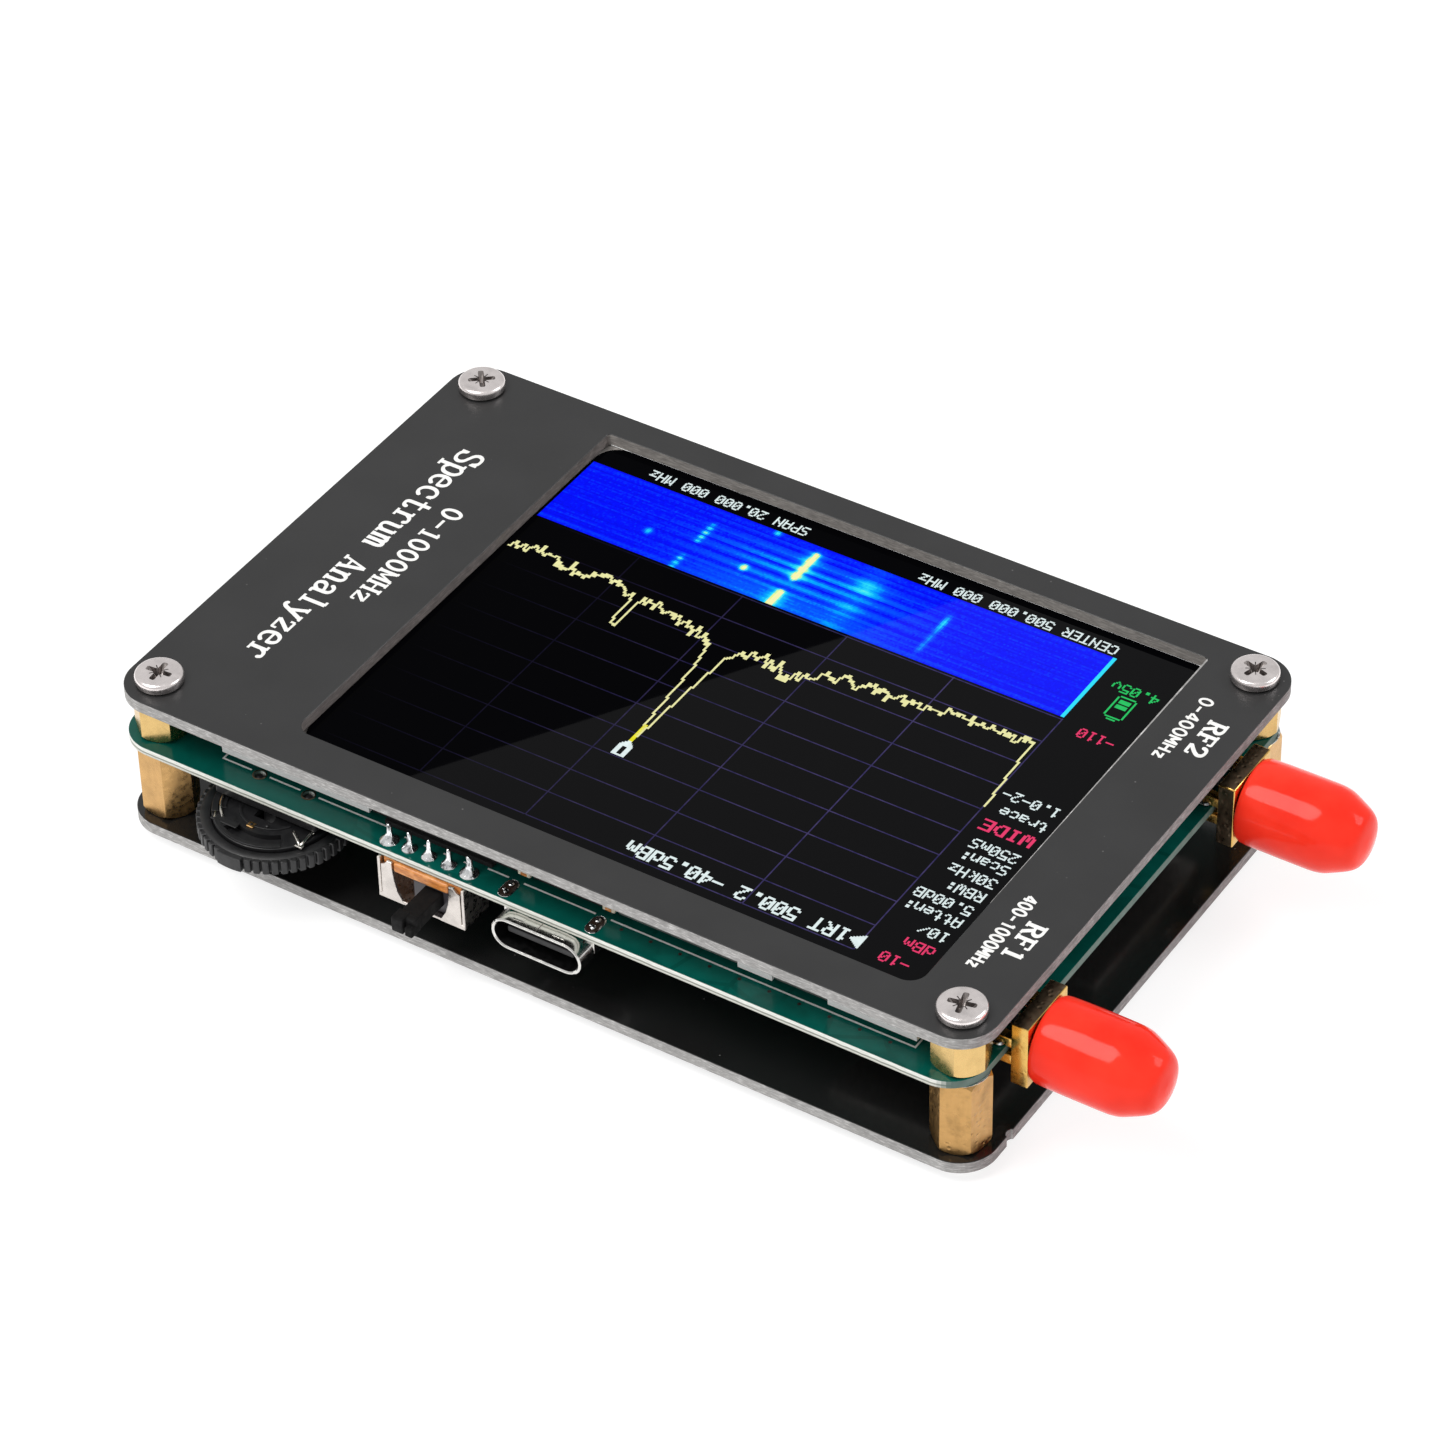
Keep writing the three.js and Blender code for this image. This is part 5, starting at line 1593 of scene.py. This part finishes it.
for i in (1, 2):
    lo, hi = mmbox("dust_cap_%d" % i)
    yc, zc = (lo[1] + hi[1]) / 2, (lo[2] + hi[2]) / 2
    L = hi[0] - lo[0]
    outer = [(3.30, 0.0), (3.52, 0.02), (3.70, 0.16), (3.80, 0.5), (3.845, 1.5), (3.865, 3.2), (3.87, 5.3), (3.86, 6.85), (3.80, 7.5), (3.66, 8.1), (3.32, 8.9), (2.92, 9.75), (2.62, 10.25), (2.30, 10.57), (1.9, 10.77), (1.3, 10.91), (0.6, L - 0.01)]
    prof = smooth_profile(outer, 4)
    prof = [(max(0.0, min(r, 3.88)), max(0.0, min(h, L))) for r, h in prof]
    prof += [(0, L), (0, 8.1), (2.6, 8.1), (3.05, 7.95), (3.28, 7.65), (3.28, 0.4), prof[0]]
    g = Geo()
    # the closed loop touches the axis, so the two pole rows are kept as points
    pts = prof[:-1]
    NA = 96
    vv, rows = [], []
    for r, h in pts:
        if r < 1e-9:
            rows.append([len(vv)])
            vv.append((h, 0, 0))
        else:
            rows.append(list(range(len(vv), len(vv) + NA)))
            for q in range(NA):
                a = 2 * PI * q / NA
                vv.append((h, r * math.cos(a), r * math.sin(a)))
    ff = []
    for A, B in zip(rows, rows[1:] + rows[:1]):
        if len(A) == 1 and len(B) == 1:
            continue
        for q in range(NA):
            q2 = (q + 1) % NA
            if len(A) == 1:
                ff.append((A[0], B[q], B[q2]))
            elif len(B) == 1:
                ff.append((A[q], B[0], A[q2]))
            else:
                ff.append((A[q], B[q], B[q2], A[q2]))
    g.add([(lo[0] + x, yc + y, zc + z) for x, y, z in vv], ff, "vinyl", True)
    g.make("vinyl_cap_%d" % i, "dust_cap_%d_body" % i, "dust_cap_%d" % i, "red_vinyl")

# ------------------------------------------------------------------ USB-C socket
UL, UH = mmbox("usb_c_shell")
UY0 = UL[1]
UY1 = UH[1]
UZ = ZM0 - 0.05 - 3.25 / 2
UX = (UL[0] + UH[0]) / 2


def stadium(w, h, seg=12):
    r = h / 2
    pts = []
    for i in range(seg + 1):
        a = -PI / 2 + PI * i / seg
        pts.append((w / 2 - r + r * math.cos(a), r * math.sin(a)))
    for i in range(seg + 1):
        a = PI / 2 + PI * i / seg
        pts.append((-(w / 2 - r) + r * math.cos(a), r * math.sin(a)))
    return pts


def to_y(g, x, y, z):
    """local (x, z-height, extrusion) to an extrusion along +Y from y"""
    for v in g.bm.verts:
        a, b, c = v.co
        v.co = Vector((x + a, y + c, z + b))


UL_LEN = UY1 - UY0
g = Geo()
# the shell's inner walls take shell_in: painted shade inside the mouth
board(g, stadium(8.94, 3.25), [list(reversed(stadium(8.94 - 0.6, 3.25 - 0.6)))], 0, UL_LEN - 0.3, "shell", "shell", "shell_in", c=0.1)
g.prism(stadium(8.94, 3.25), UL_LEN - 0.42, UL_LEN, "shell", 0.12, 2)
to_y(g, UX, UY0, UZ)
for x, y in TABS:
    g.box(x - 0.15, y - 0.6, UZ - 0.2, x + 0.15, y + 0.6, ZM1 + 0.03, "shell", 0.04)
# pressed spring fingers on the lower and upper side
for s in (-1, 1):
    for dx in (-2.0, 2.0):
        z = UZ + s * 3.25 / 2
        g.box(UX + dx - 0.55, UY0 + 0.5, min(z, z + s * 0.03), UX + dx + 0.55, UY0 + 1.9, max(z, z + s * 0.03), "shell", 0.01)
# seam where the rolled shell meets, seen on the upper side
g.box(UX - 0.04, UY0 + 0.1, UZ + 3.25 / 2 - 0.005, UX + 0.04, UY0 + 1.3, UZ + 3.25 / 2 + 0.02, "nickel_dark", 0)
o = g.make("usb_c_socket_shell", CHASSIS, "usb_c_shell", "tinned_steel")
o.data.set_sharp_from_angle(angle=math.radians(30))

TL, TH = mmbox("usb_c_tongue")
g = Geo()
g.box(UX - 3.3, UY0 + 0.75, UZ - 0.33, UX + 3.3, TH[1] - 1.6, UZ + 0.33, "tongue", 0.12, 2)
g.box(UX - 3.1, TH[1] - 2.8, UZ - 1.25, UX + 3.1, TH[1], UZ + 1.25, "tongue", 0.1)
g.box(UX - 3.36, UY0 + 0.95, UZ - 0.08, UX + 3.36, UY0 + 2.6, UZ + 0.08, "shell", 0.03)
for k in range(12):
    x = UX + (k - 5.5) * 0.5
    y = UY0 + (1.0 if k in (0, 3, 8, 11) else 1.35)
    for s in (-1, 1):
        g.box(x - 0.13, y + 0.35, UZ + s * 0.33 - 0.01, x + 0.13, UY0 + 4.2, UZ + s * 0.33 + 0.01, "gold_dark", 0)
g.make("usb_c_socket_tongue", CHASSIS, "usb_c_tongue", "black_plastic")

# ------------------------------------------------------------------ solder joints over the switch's terminals
spots = [(LEG_X[0], 0.90, 1.46), (PIN_X[0], 0.74, 1.42), (PIN_X[1], 0.72, 1.50), (PIN_X[2], 0.74, 1.40), (LEG_X[1], 0.90, 1.48)]
for i, (x, r, h) in enumerate(spots, 1):
    g = Geo()
    lean = (0.10, 0.16, 0.02, 0.12, 0.22)[i - 1]
    y = PIN_Y
    g.tube(
        [
            (x, y, ZM1 - 0.02),
            (x, y, ZM1 + 0.07),
            (x, y, ZM1 + 0.2),
            (x + lean * 0.1, y, ZM1 + 0.38),
            (x + lean * 0.35, y, ZM1 + 0.60),
            (x + lean * 0.5, y + 0.02, ZM1 + 0.90),
            (x + lean * 0.2, y + 0.06, ZM1 + h),
            (x - lean * 0.6, y + 0.14, ZM1 + h + 0.26),
        ],
        [r, r * 0.97, r * 0.80, r * 0.60, r * 0.42, r * 0.31, r * 0.28, r * 0.22],
        "tin",
        18,
    )
    # the terminal's own end, flattened, shows beside the tip
    g.box(x - 0.22, y - 0.1, ZM1 + 0.1, x + 0.02, y + 0.14, ZM1 + h * 0.72, "tin", 0.05)
    if 2 <= i <= 4:
        g.tube([(x, y, ZM0 - 1.25), (x, y, ZM0 - 0.6), (x, y, ZM1)], 0.26, "tin", 12)
        g.make("switch_joint_%d" % i, CHASSIS, "power_switch_pin_%d" % (i - 1), "tinned_steel")
    else:
        g.make("switch_joint_%d" % i, CHASSIS, slot="tinned_steel")

# ------------------------------------------------------------------ slide switch
SL, SH = mmbox("power_switch_frame")
sx0, sx1, sy0, sy1, sz0, sz1 = SWX - 4.4, SWX + 4.4, py(-27.92), py(-24.3), SL[2], ZM0 - 0.06
t = 0.3
g = Geo()
# folded sheet: floor, ends, two tapered front ears and the back
g.box(sx0, sy0 + 0.02, sz0, sx1, sy1, sz0 + t, "sheet", 0.09, 2)
g.box(sx0, sy0 + 0.04, sz0, sx0 + t, sy1, sz1, "sheet", 0.08, 2)
g.box(sx1 - t, sy0 + 0.04, sz0, sx1, sy1, sz1, "sheet", 0.08, 2)
g.box(sx0, sy1 - t, sz0, sx1, sy1, sz1 - 1.3, "sheet", 0.09, 2)
for s in (-1, 1):
    xe = SWX + s * 4.4
    ear = [(0.02, 0), (2.55, 0), (2.40, 0.35), (1.90, 1.25), (1.66, 2.3), (1.55, 3.3), (1.50, sz1 - sz0 - 0.12), (1.05, sz1 - sz0 - 0.06), (0.75, sz1 - sz0 - 0.45), (0.40, sz1 - sz0 - 0.62), (0.36, 0.5), (0.02, 0.42)]
    poly = [(xe - s * a, sz0 + b) for a, b in ear]
    if s > 0:
        poly.reverse()
    e = Geo()
    e.prism(poly, 0, t, "sheet", 0.07, 2)
    for v in e.bm.verts:
        a, b, c = v.co
        v.co = Vector((a, sy0 + c, b))
    g.add_bm(e.bm, "sheet")
for x in LEG_X:
    g.box(x - 0.35, PIN_Y - 0.18, sz1 - 1.0, x + 0.35, PIN_Y + 0.18, ZM1 + 0.5, "sheet", 0.06)
o = g.make("switch_folded_frame", CHASSIS, "power_switch_frame", "nickel_sheet")

BL, BH = mmbox("power_switch_base")
g = Geo()
holes_b = [list(reversed(circle(x, PIN_Y, 0.36, 14))) for x in PIN_X]
board(g, rrect(sx0 + 0.42, sy0 + 0.4, sx1 - 0.42, sy1 - 0.4, 0.15, 3), holes_b, ZM0 - 1.15, ZM0 - 0.1, "phenolic", "phenolic", c=0.04)
g.box(sx0 + 1.62, sy0 + 0.05, ZM0 - 1.12, sx1 - 1.62, sy0 + 0.6, ZM0 - 0.1, "phenolic", 0.24, 4)
g.make("switch_laminate_base", CHASSIS, "power_switch_base", "brown_phenolic")

LL, LH = mmbox("power_switch_lever")
lx = SWX + 1.0
tip = LL[1]
g = Geo()
g.box(lx - 2.1, py(-27.4), 6.1, lx + 2.1, py(-24.75), 8.6, "smoke", 0.12, 2)
g.box(lx - 0.86, tip + 0.5, 7.05, lx + 0.98, py(-27.0), 8.45, "lever", 0.10, 2)
# stepped, rough end of the handle
g.box(lx - 1.05, tip + 0.02, 7.0, lx + 0.12, tip + 1.35, 8.55, "lever", 0.12, 2)
g.box(lx - 0.2, tip + 0.62, 7.04, lx + 1.05, tip + 1.35, 8.5, "lever", 0.09, 2)
g.box(lx + 0.30, tip, 7.0, lx + 1.05, tip + 0.9, 7.95, "lever", 0.12, 2)
g.make("switch_lever_block", "power_lever_body", "power_switch_lever", "black_plastic")

# ------------------------------------------------------------------ jog dial
JX, JY, JR, JZ0, JZ1 = px(-27.4), py(-25.4), 6.86, 6.35, 7.85
# wheel: ribs with chamfered rims round a cup
half = math.radians(10)
teeth = 50
sp = (2 * PI - 2 * half) / teeth
pts = []
a0 = -PI / 2
for k in (-1, -0.75, -0.5, -0.25, 0, 0.25, 0.5, 0.75, 1):
    a = a0 + k * half
    pts.append((JX + (JR + 0.18) * math.cos(a), JY + (JR + 0.18) * math.sin(a)))
for q in range(teeth):
    b = a0 + half + q * sp
    for fr, rr in ((0.03, JR - 0.30), (0.12, JR - 0.34), (0.22, JR - 0.30), (0.27, JR - 0.06), (0.36, JR), (0.60, JR + 0.01), (0.86, JR), (0.96, JR - 0.06)):
        a = b + fr * sp
        pts.append((JX + rr * math.cos(a), JY + rr * math.sin(a)))
a = Geo()
a.prism(pts, JZ0, JZ1 - 0.12, "black_plastic", 0.07)
b = Geo()
b.lathe([(0, JZ0 + 0.65), (JR - 1.0, JZ0 + 0.65), (JR - 0.95, JZ0 + 0.75), (JR - 0.95, JZ1 + 1), (0, JZ1 + 1)], "black_plastic", 72, at(JX, JY, 0))
g = boolean(a, b)
b = Geo()
b.lathe([(0, JZ0 - 1), (2.85, JZ0 - 1), (2.85, JZ0 + 0.9), (0, JZ0 + 0.9)], "black_plastic", 48, at(JX, JY, 0))
g = boolean(g, b)
# smooth upper lip inside the ribs
g.lathe([(JR - 1.24, JZ1 - 0.35), (JR - 0.36, JZ1 - 0.35), (JR - 0.36, JZ1 - 0.1), (JR - 0.52, JZ1 - 0.01), (JR - 0.80, JZ1), (JR - 1.1, JZ1 - 0.05), (JR - 1.24, JZ1 - 0.12), (JR - 1.24, JZ1 - 0.35)], "black_plastic", 96, at(JX, JY, 0))
o = g.make("jog_ribbed_wheel", "jog_wheel_body", "jog_wheel", "black_plastic")
o.data.set_sharp_from_angle(angle=math.radians(35))

# carrier: disc with raised rim and steps, hub below
a = Geo()
a.lathe([(0, JZ0 + 0.95), (5.35, JZ0 + 0.95), (5.5, JZ0 + 1.05), (5.5, JZ0 + 1.68), (5.42, JZ0 + 1.75), (0, JZ0 + 1.75)], "black_body", 72, at(JX, JY, 0))
b = Geo()
b.box(JX - 0.95, JY - 1.95, JZ0 - 1, JX + 0.95, JY + 1.2, JZ1 + 2, "black_body", 0)
g = boolean(a, b)
# open pocket towards -Y
b = Geo()
ring = [(JX + 4.95 * math.cos(math.radians(d)), JY + 4.95 * math.sin(math.radians(d))) for d in range(-118, -47, 5)]
ring += [(JX + 3.75 * math.cos(math.radians(d)), JY + 3.75 * math.sin(math.radians(d))) for d in range(-48, -119, -5)]
b.prism(ring, JZ0 + 1.25, JZ1 + 2, "black_body", 0)
g = boolean(g, b)
a = Geo()
a.lathe([(0, JZ0 - 0.4), (3.1, JZ0 - 0.4), (3.2, JZ0 - 0.3), (3.2, JZ0 - 0.12), (2.6, JZ0 - 0.08), (2.6, JZ0 + 1.2), (0, JZ0 + 1.2)], "black_body", 48, at(JX, JY, 0))
b = Geo()
b.box(JX - 0.95, JY - 1.95, JZ0 - 1, JX + 0.95, JY + 1.2, JZ1 + 2, "black_body", 0)
g2 = boolean(a, b)
g.add_bm(g2.bm, "black_body")


def arc_wall(g, r0, r1, d0, d1, z0, z1, mat, n=16, c=0.03):
    """a curved rib round the dial's axis, between two angles in degrees"""
    outer = [(JX + r1 * math.cos(math.radians(d0 + (d1 - d0) * k / n)), JY + r1 * math.sin(math.radians(d0 + (d1 - d0) * k / n))) for k in range(n + 1)]
    inner = [(JX + r0 * math.cos(math.radians(d1 + (d0 - d1) * k / n)), JY + r0 * math.sin(math.radians(d1 + (d0 - d1) * k / n))) for k in range(n + 1)]
    g.prism(outer + inner, z0, z1, mat, c)


top = JZ0 + 1.75
arc_wall(g, 5.05, 5.45, -132, -50, top - 0.05, top + 0.16, "black_body")
arc_wall(g, 4.9, 5.45, -178, -140, top - 0.05, top + 0.2, "black_body")
arc_wall(g, 2.9, 3.15, -150, -30, top - 0.05, top + 0.14, "black_body")
arc_wall(g, 4.2, 4.6, 160, 215, top - 0.05, top + 0.14, "black_body")
g.box(JX - 3.9, JY - 4.15, top - 0.05, JX - 1.2, JY - 3.45, top + 0.12, "black_body", 0.04)
# brushes and a contact on the carrier
g.tube([(JX - 4.65, JY - 0.6, top + 0.05), (JX - 4.5, JY - 1.5, top + 0.22), (JX - 4.1, JY - 2.3, top + 0.25), (JX - 3.5, JY - 3.1, top + 0.22), (JX - 3.0, JY - 3.55, top + 0.1)], 0.13, "spring", 10)
g.tube([(JX - 4.0, JY - 3.1, top + 0.1), (JX - 3.75, JY - 3.6, top + 0.16), (JX - 3.6, JY - 3.95, top + 0.1)], 0.09, "spring", 8)
g.box(JX - 0.66, JY - 3.42, top + 0.0, JX + 0.04, JY - 2.78, top + 0.17, "brass_lower", 0.05)
g.box(JX - 0.44, JY - 3.22, top + 0.1, JX - 0.18, JY - 2.98, top + 0.19, "black_body", 0.02)
for dx, dy in ((-2.5, -1.6), (0.9, -2.5), (2.2, -1.9)):
    g.lathe([(0, top - 0.02), (0.16, top - 0.02), (0.16, top + 0.08), (0.08, top + 0.13), (0, top + 0.14)], "black_plastic", 16, at(JX + dx, JY + dy, 0))
o = g.make("jog_sliding_carrier", "jog_carrier_body", "jog_carrier", "black_plastic")
o.data.set_sharp_from_angle(angle=math.radians(35))

# bright V clip
CL, CH = mmbox("jog_clip")
zc = JZ0 + 1.77
g = Geo()
g.box(JX + 4.4, JY - 3.45, zc + 0.0, JX + 5.15, JY - 3.0, zc + 0.2, "spring", 0.06, 2)
g.tube([(JX + 4.78, JY - 3.2, zc + 0.12), (JX + 4.45, JY - 2.92, zc + 0.2), (JX + 4.0, JY - 2.58, zc + 0.22), (JX + 3.62, JY - 2.3, zc + 0.22), (JX + 3.38, JY - 2.12, zc + 0.2)], [0.13, 0.14, 0.14, 0.15, 0.17], "spring", 10)
g.tube([(JX + 4.86, JY - 3.2, zc + 0.12), (JX + 4.86, JY - 2.7, zc + 0.2), (JX + 4.82, JY - 2.1, zc + 0.22), (JX + 4.78, JY - 1.6, zc + 0.22), (JX + 4.84, JY - 1.34, zc + 0.21), (JX + 4.96, JY - 1.4, zc + 0.18)], [0.13, 0.14, 0.13, 0.13, 0.12, 0.10], "spring", 10)
g.make("jog_contact_clip", "jog_carrier_body", "jog_clip", "tinned_steel")

JL, JH = mmbox("jog_base")
g = Geo()
g.box(JX - 5.2, py(-26.9), ZM0 - 1.5, JX + 5.2, py(-18.6), ZM0 - 0.04, "black_body", 0.12, 2)
g.box(JX - 0.7, JY - 0.9, JZ0 + 0.12, JX + 0.7, JY + 0.9, ZM0 - 1.2, "black_body", 0.06)
for x, y in PEG:
    g.lathe([(0, ZM0 - 0.6), (0.42, ZM0 - 0.6), (0.42, ZM1 - 0.35), (0.3, ZM1 - 0.15), (0, ZM1 - 0.12)], "black_body", 20, at(x, y, 0))
for s in (-1, 1):
    for k in (0, 1, 2):
        g.box(JX + s * 5.15 - 0.25, py(-25.6 + 2.3 * k) - 0.35, ZM0 - 0.5, JX + s * 5.15 + 0.25 + (0.45 if s > 0 else 0) - (0.45 if s < 0 else 0) * 0, py(-25.6 + 2.3 * k) + 0.35, ZM0 - 0.04, "tin", 0.05)
o = g.make("jog_fixed_base", CHASSIS, "jog_base", "black_plastic")

# ------------------------------------------------------------------ battery and the parts under the main board
VL, VH = mmbox("battery_cell")
g = Geo()


def pillow(g, x0, y0, z0, x1, y1, z1, mat, r=1.3):
    """foil pouch: flat faces that roll over at the rims"""
    g.prism(rrect(x0, y0, x1, y1, 1.6, 8), z0, z1, mat, r, 6, True)


pillow(g, VL[0] + 1.6, VL[1] + 0.25, VL[2], VH[0], VH[1] - 0.25, VH[2], "pouch", 1.3)
zc = (VL[2] + VH[2]) / 2
g.box(VL[0] + 2.0, VL[1], zc - 0.9, VH[0] - 0.6, VL[1] + 0.32, zc + 0.75, "pouch", 0.1, 2)
g.box(VL[0] + 2.0, VH[1] - 0.32, zc - 0.9, VH[0] - 0.6, VH[1], zc + 0.75, "pouch", 0.1, 2)
g.box(VL[0], VL[1] + 1.2, zc - 0.5, VL[0] + 2.2, VH[1] - 1.2, zc + 0.15, "film", 0.15, 2)
o = g.make("battery_pouch_cell", CHASSIS, "battery_cell", "battery_pouch")
o.data.set_sharp_from_angle(angle=math.radians(40))


def chip(name, node, slot, pins, body_mat="chip", pin_mat="tin"):
    lo, hi = mmbox(node)
    g = Geo()
    p = 0.12
    g.box(lo[0] + p, lo[1] + p, lo[2], hi[0] - p, hi[1] - p, hi[2] - 0.06, body_mat, 0.05)
    g.lathe([(0, lo[2] + 0.01), (0.22, lo[2] + 0.01), (0.22, lo[2] - 0.012), (0, lo[2] - 0.012)], "mark", 20, at(lo[0] + 0.75, lo[1] + 0.75, 0), smooth=False)
    for s in range(4):
        n = pins[s % 2]
        a, b = (lo[0], hi[0]) if s % 2 == 0 else (lo[1], hi[1])
        for k in range(n):
            c = a + (b - a) * (k + 1) / (n + 1)
            if s == 0:
                q = (c - 0.12, lo[1], c + 0.12, lo[1] + 0.3)
            elif s == 2:
                q = (c - 0.12, hi[1] - 0.3, c + 0.12, hi[1])
            elif s == 1:
                q = (lo[0], c - 0.12, lo[0] + 0.3, c + 0.12)
            else:
                q = (hi[0] - 0.3, c - 0.12, hi[0], c + 0.12)
            g.box(q[0], q[1], hi[2] - 0.2, q[2], q[3], hi[2], pin_mat, 0.02)
    g.make(name, CHASSIS, node, slot)


chip("mcu_package", "mcu_chip", "chip_package", (12, 12))
chip("charger_package", "charger_chip", "chip_package", (4, 0))
chip("rf_package_1", "rf_chip_1", "chip_package", (6, 6))
chip("rf_package_2", "rf_chip_2", "chip_package", (6, 6))

lo, hi = mmbox("crystal_oscillator")
g = Geo()
g.prism(rrect(lo[0] + 0.1, lo[1] + 0.1, hi[0] - 0.1, hi[1] - 0.1, 0.5, 6), lo[2], hi[2] - 0.3, "gold", 0.14, 3)
g.box(lo[0], lo[1], hi[2] - 0.32, hi[0], hi[1], hi[2], "ivory", 0.05)
g.make("oscillator_package", CHASSIS, "crystal_oscillator", "oscillator_can")

for i in (1, 2):
    lo, hi = mmbox("shield_can_%d" % i)
    a = Geo()
    a.box(lo[0], lo[1], lo[2], hi[0], hi[1], hi[2] + 0.6, "sheet", 0.28, 3)
    b = Geo()
    b.box(lo[0] + 0.25, lo[1] + 0.25, lo[2] + 0.25, hi[0] - 0.25, hi[1] - 0.25, hi[2] + 2, "sheet", 0.15, 2)
    b.box(lo[0] - 1, lo[1] - 1, hi[2], hi[0] + 1, hi[1] + 1, hi[2] + 1.5, "sheet", 0)
    g = boolean(a, b)
    b = Geo()
    for ix in range(3):
        for iy in range(5):
            cx = (lo[0] + hi[0]) / 2 + (ix - 1) * 3.2
            cy = (lo[1] + hi[1]) / 2 + (iy - 2) * 3.2
            b.lathe([(0, lo[2] - 1), (0.45, lo[2] - 1), (0.45, lo[2] + 0.6), (0, lo[2] + 0.6)], "sheet", 20, at(cx, cy, 0))
    g = boolean(g, b)
    o = g.make("shield_lid_%d" % i, CHASSIS, "shield_can_%d" % i, "nickel_sheet")
    o.data.set_sharp_from_angle(angle=math.radians(35))

lo, hi = mmbox("battery_connector")
a = Geo()
a.box(lo[0], lo[1], lo[2], hi[0], hi[1], hi[2], "ivory", 0.12, 2)
b = Geo()
b.box(lo[0] + 0.5, lo[1] - 1, lo[2] + 0.3, hi[0] - 0.5, hi[1] - 2.2, hi[2] - 0.6, "ivory", 0)
g = boolean(a, b)
for s in (-1, 1):
    cx = (lo[0] + hi[0]) / 2 + s
    g.box(cx - 0.2, lo[1] + 0.8, (lo[2] + hi[2]) / 2 - 0.2, cx + 0.2, hi[1] - 0.6, (lo[2] + hi[2]) / 2 + 0.2, "tin", 0.05)
    g.box(cx - 0.25, lo[1] - 0.0, hi[2] - 0.25, cx + 0.25, lo[1] + 0.9, hi[2] - 0.02, "tin", 0.04)
g.make("battery_socket", CHASSIS, "battery_connector", "ivory_plastic")

# ------------------------------------------------------------------ CAD nodes that keep their shape
CARRY = {
    "display_foam_tape": "foam",
    "display_flat_cable": "film",
    "battery_tape": "tape",
    "battery_lead_red": "wire_red",
    "battery_lead_black": "wire_black",
}
for node, mat in CARRY.items():
    o = frame["nodes"][node]
    if not o.material_slots:
        o.data.materials.append(M[mat])
    for s in o.material_slots:
        s.link = "OBJECT"
        s.material = M[mat]

# ------------------------------------------------------------------ stage, light
mesh = bpy.data.meshes.new("floor")
S = 3.0
mesh.from_pydata([(-S, -S, -0.00005), (S, -S, -0.00005), (S, S, -0.00005), (-S, S, -0.00005)], [], [(0, 1, 2, 3)])
floor = bpy.data.objects.new("floor", mesh)
bpy.context.scene.collection.objects.link(floor)
fm = Mat("floor_pale", (0.30, 0.30, 0.30), 0.8)
fm.b.inputs["Specular IOR Level"].default_value = 0.0
fm.b.inputs["Emission Color"].default_value = (1, 1, 1, 1)
fm.b.inputs["Emission Strength"].default_value = 0.80
mesh.materials.append(fm.m)

scene = bpy.context.scene
world = bpy.data.worlds.new("studio")
scene.world = world
world.use_nodes = True
wt = world.node_tree
bg = wt.nodes["Background"]
bg.inputs["Strength"].default_value = 0.62
bg.inputs["Color"].default_value = (1.0, 1.0, 1.0, 1)


def area(name, loc, target, sx, sy, power, color=(1, 1, 1)):
    li = bpy.data.lights.new(name, "AREA")
    li.shape = "RECTANGLE"
    li.size, li.size_y = sx, sy
    li.energy = power
    li.color = color
    o = bpy.data.objects.new(name, li)
    o.location = loc
    d = Vector(target) - Vector(loc)
    o.rotation_euler = d.to_track_quat("-Z", "Y").to_euler()
    scene.collection.objects.link(o)
    return o


area("key", (-0.25, -0.35, 0.75), (0, 0, 0), 0.35, 0.5, 4.6, (1.0, 0.985, 0.97))
area("fill", (0.55, 0.35, 0.55), (0, 0, 0), 0.35, 0.35, 1.8, (0.97, 0.985, 1.0))

# a long soft panel that only the glass mirrors: its straight edge crosses the picture
zg = CHI[2] * MM
mir = Vector((0.198407, -0.305334, 2 * zg - 0.321836))
h = 0.45
kk = (h - mir.z) / (zg - mir.z)
pa = Vector((px(-14.75) * MM, py(-22.2) * MM))
pb = Vector((px(14.4) * MM, py(24.9) * MM))
m2 = Vector((mir.x, mir.y))
qa, qb = m2 + (pa - m2) * kk, m2 + (pb - m2) * kk
along = (qb - qa).normalized()
side = Vector((along.y, -along.x))  # towards +X
wide, long_ = 0.26, (qb - qa).length * 1.7
mid = (qa + qb) / 2 + side * (wide / 2)
li = bpy.data.lights.new("glass_panel", "AREA")
li.shape = "RECTANGLE"
li.size, li.size_y = wide, long_
li.energy = 0.92
panel = bpy.data.objects.new("glass_panel", li)
panel.location = (mid.x, mid.y, h)
panel.rotation_euler = (0, 0, math.atan2(side.y, side.x))
scene.collection.objects.link(panel)
only = bpy.data.collections.new("glass_only")
for o in bpy.data.objects:
    if o.name.startswith("display_lens") or o.name.startswith("screen_"):
        only.objects.link(o)
bpy.data.objects["screen_waterfall"].light_linking.receiver_collection = only
panel.light_linking.receiver_collection = only
panel.light_linking.blocker_collection = only

scene.view_settings.view_transform = "Standard"
scene.view_settings.look = "None"
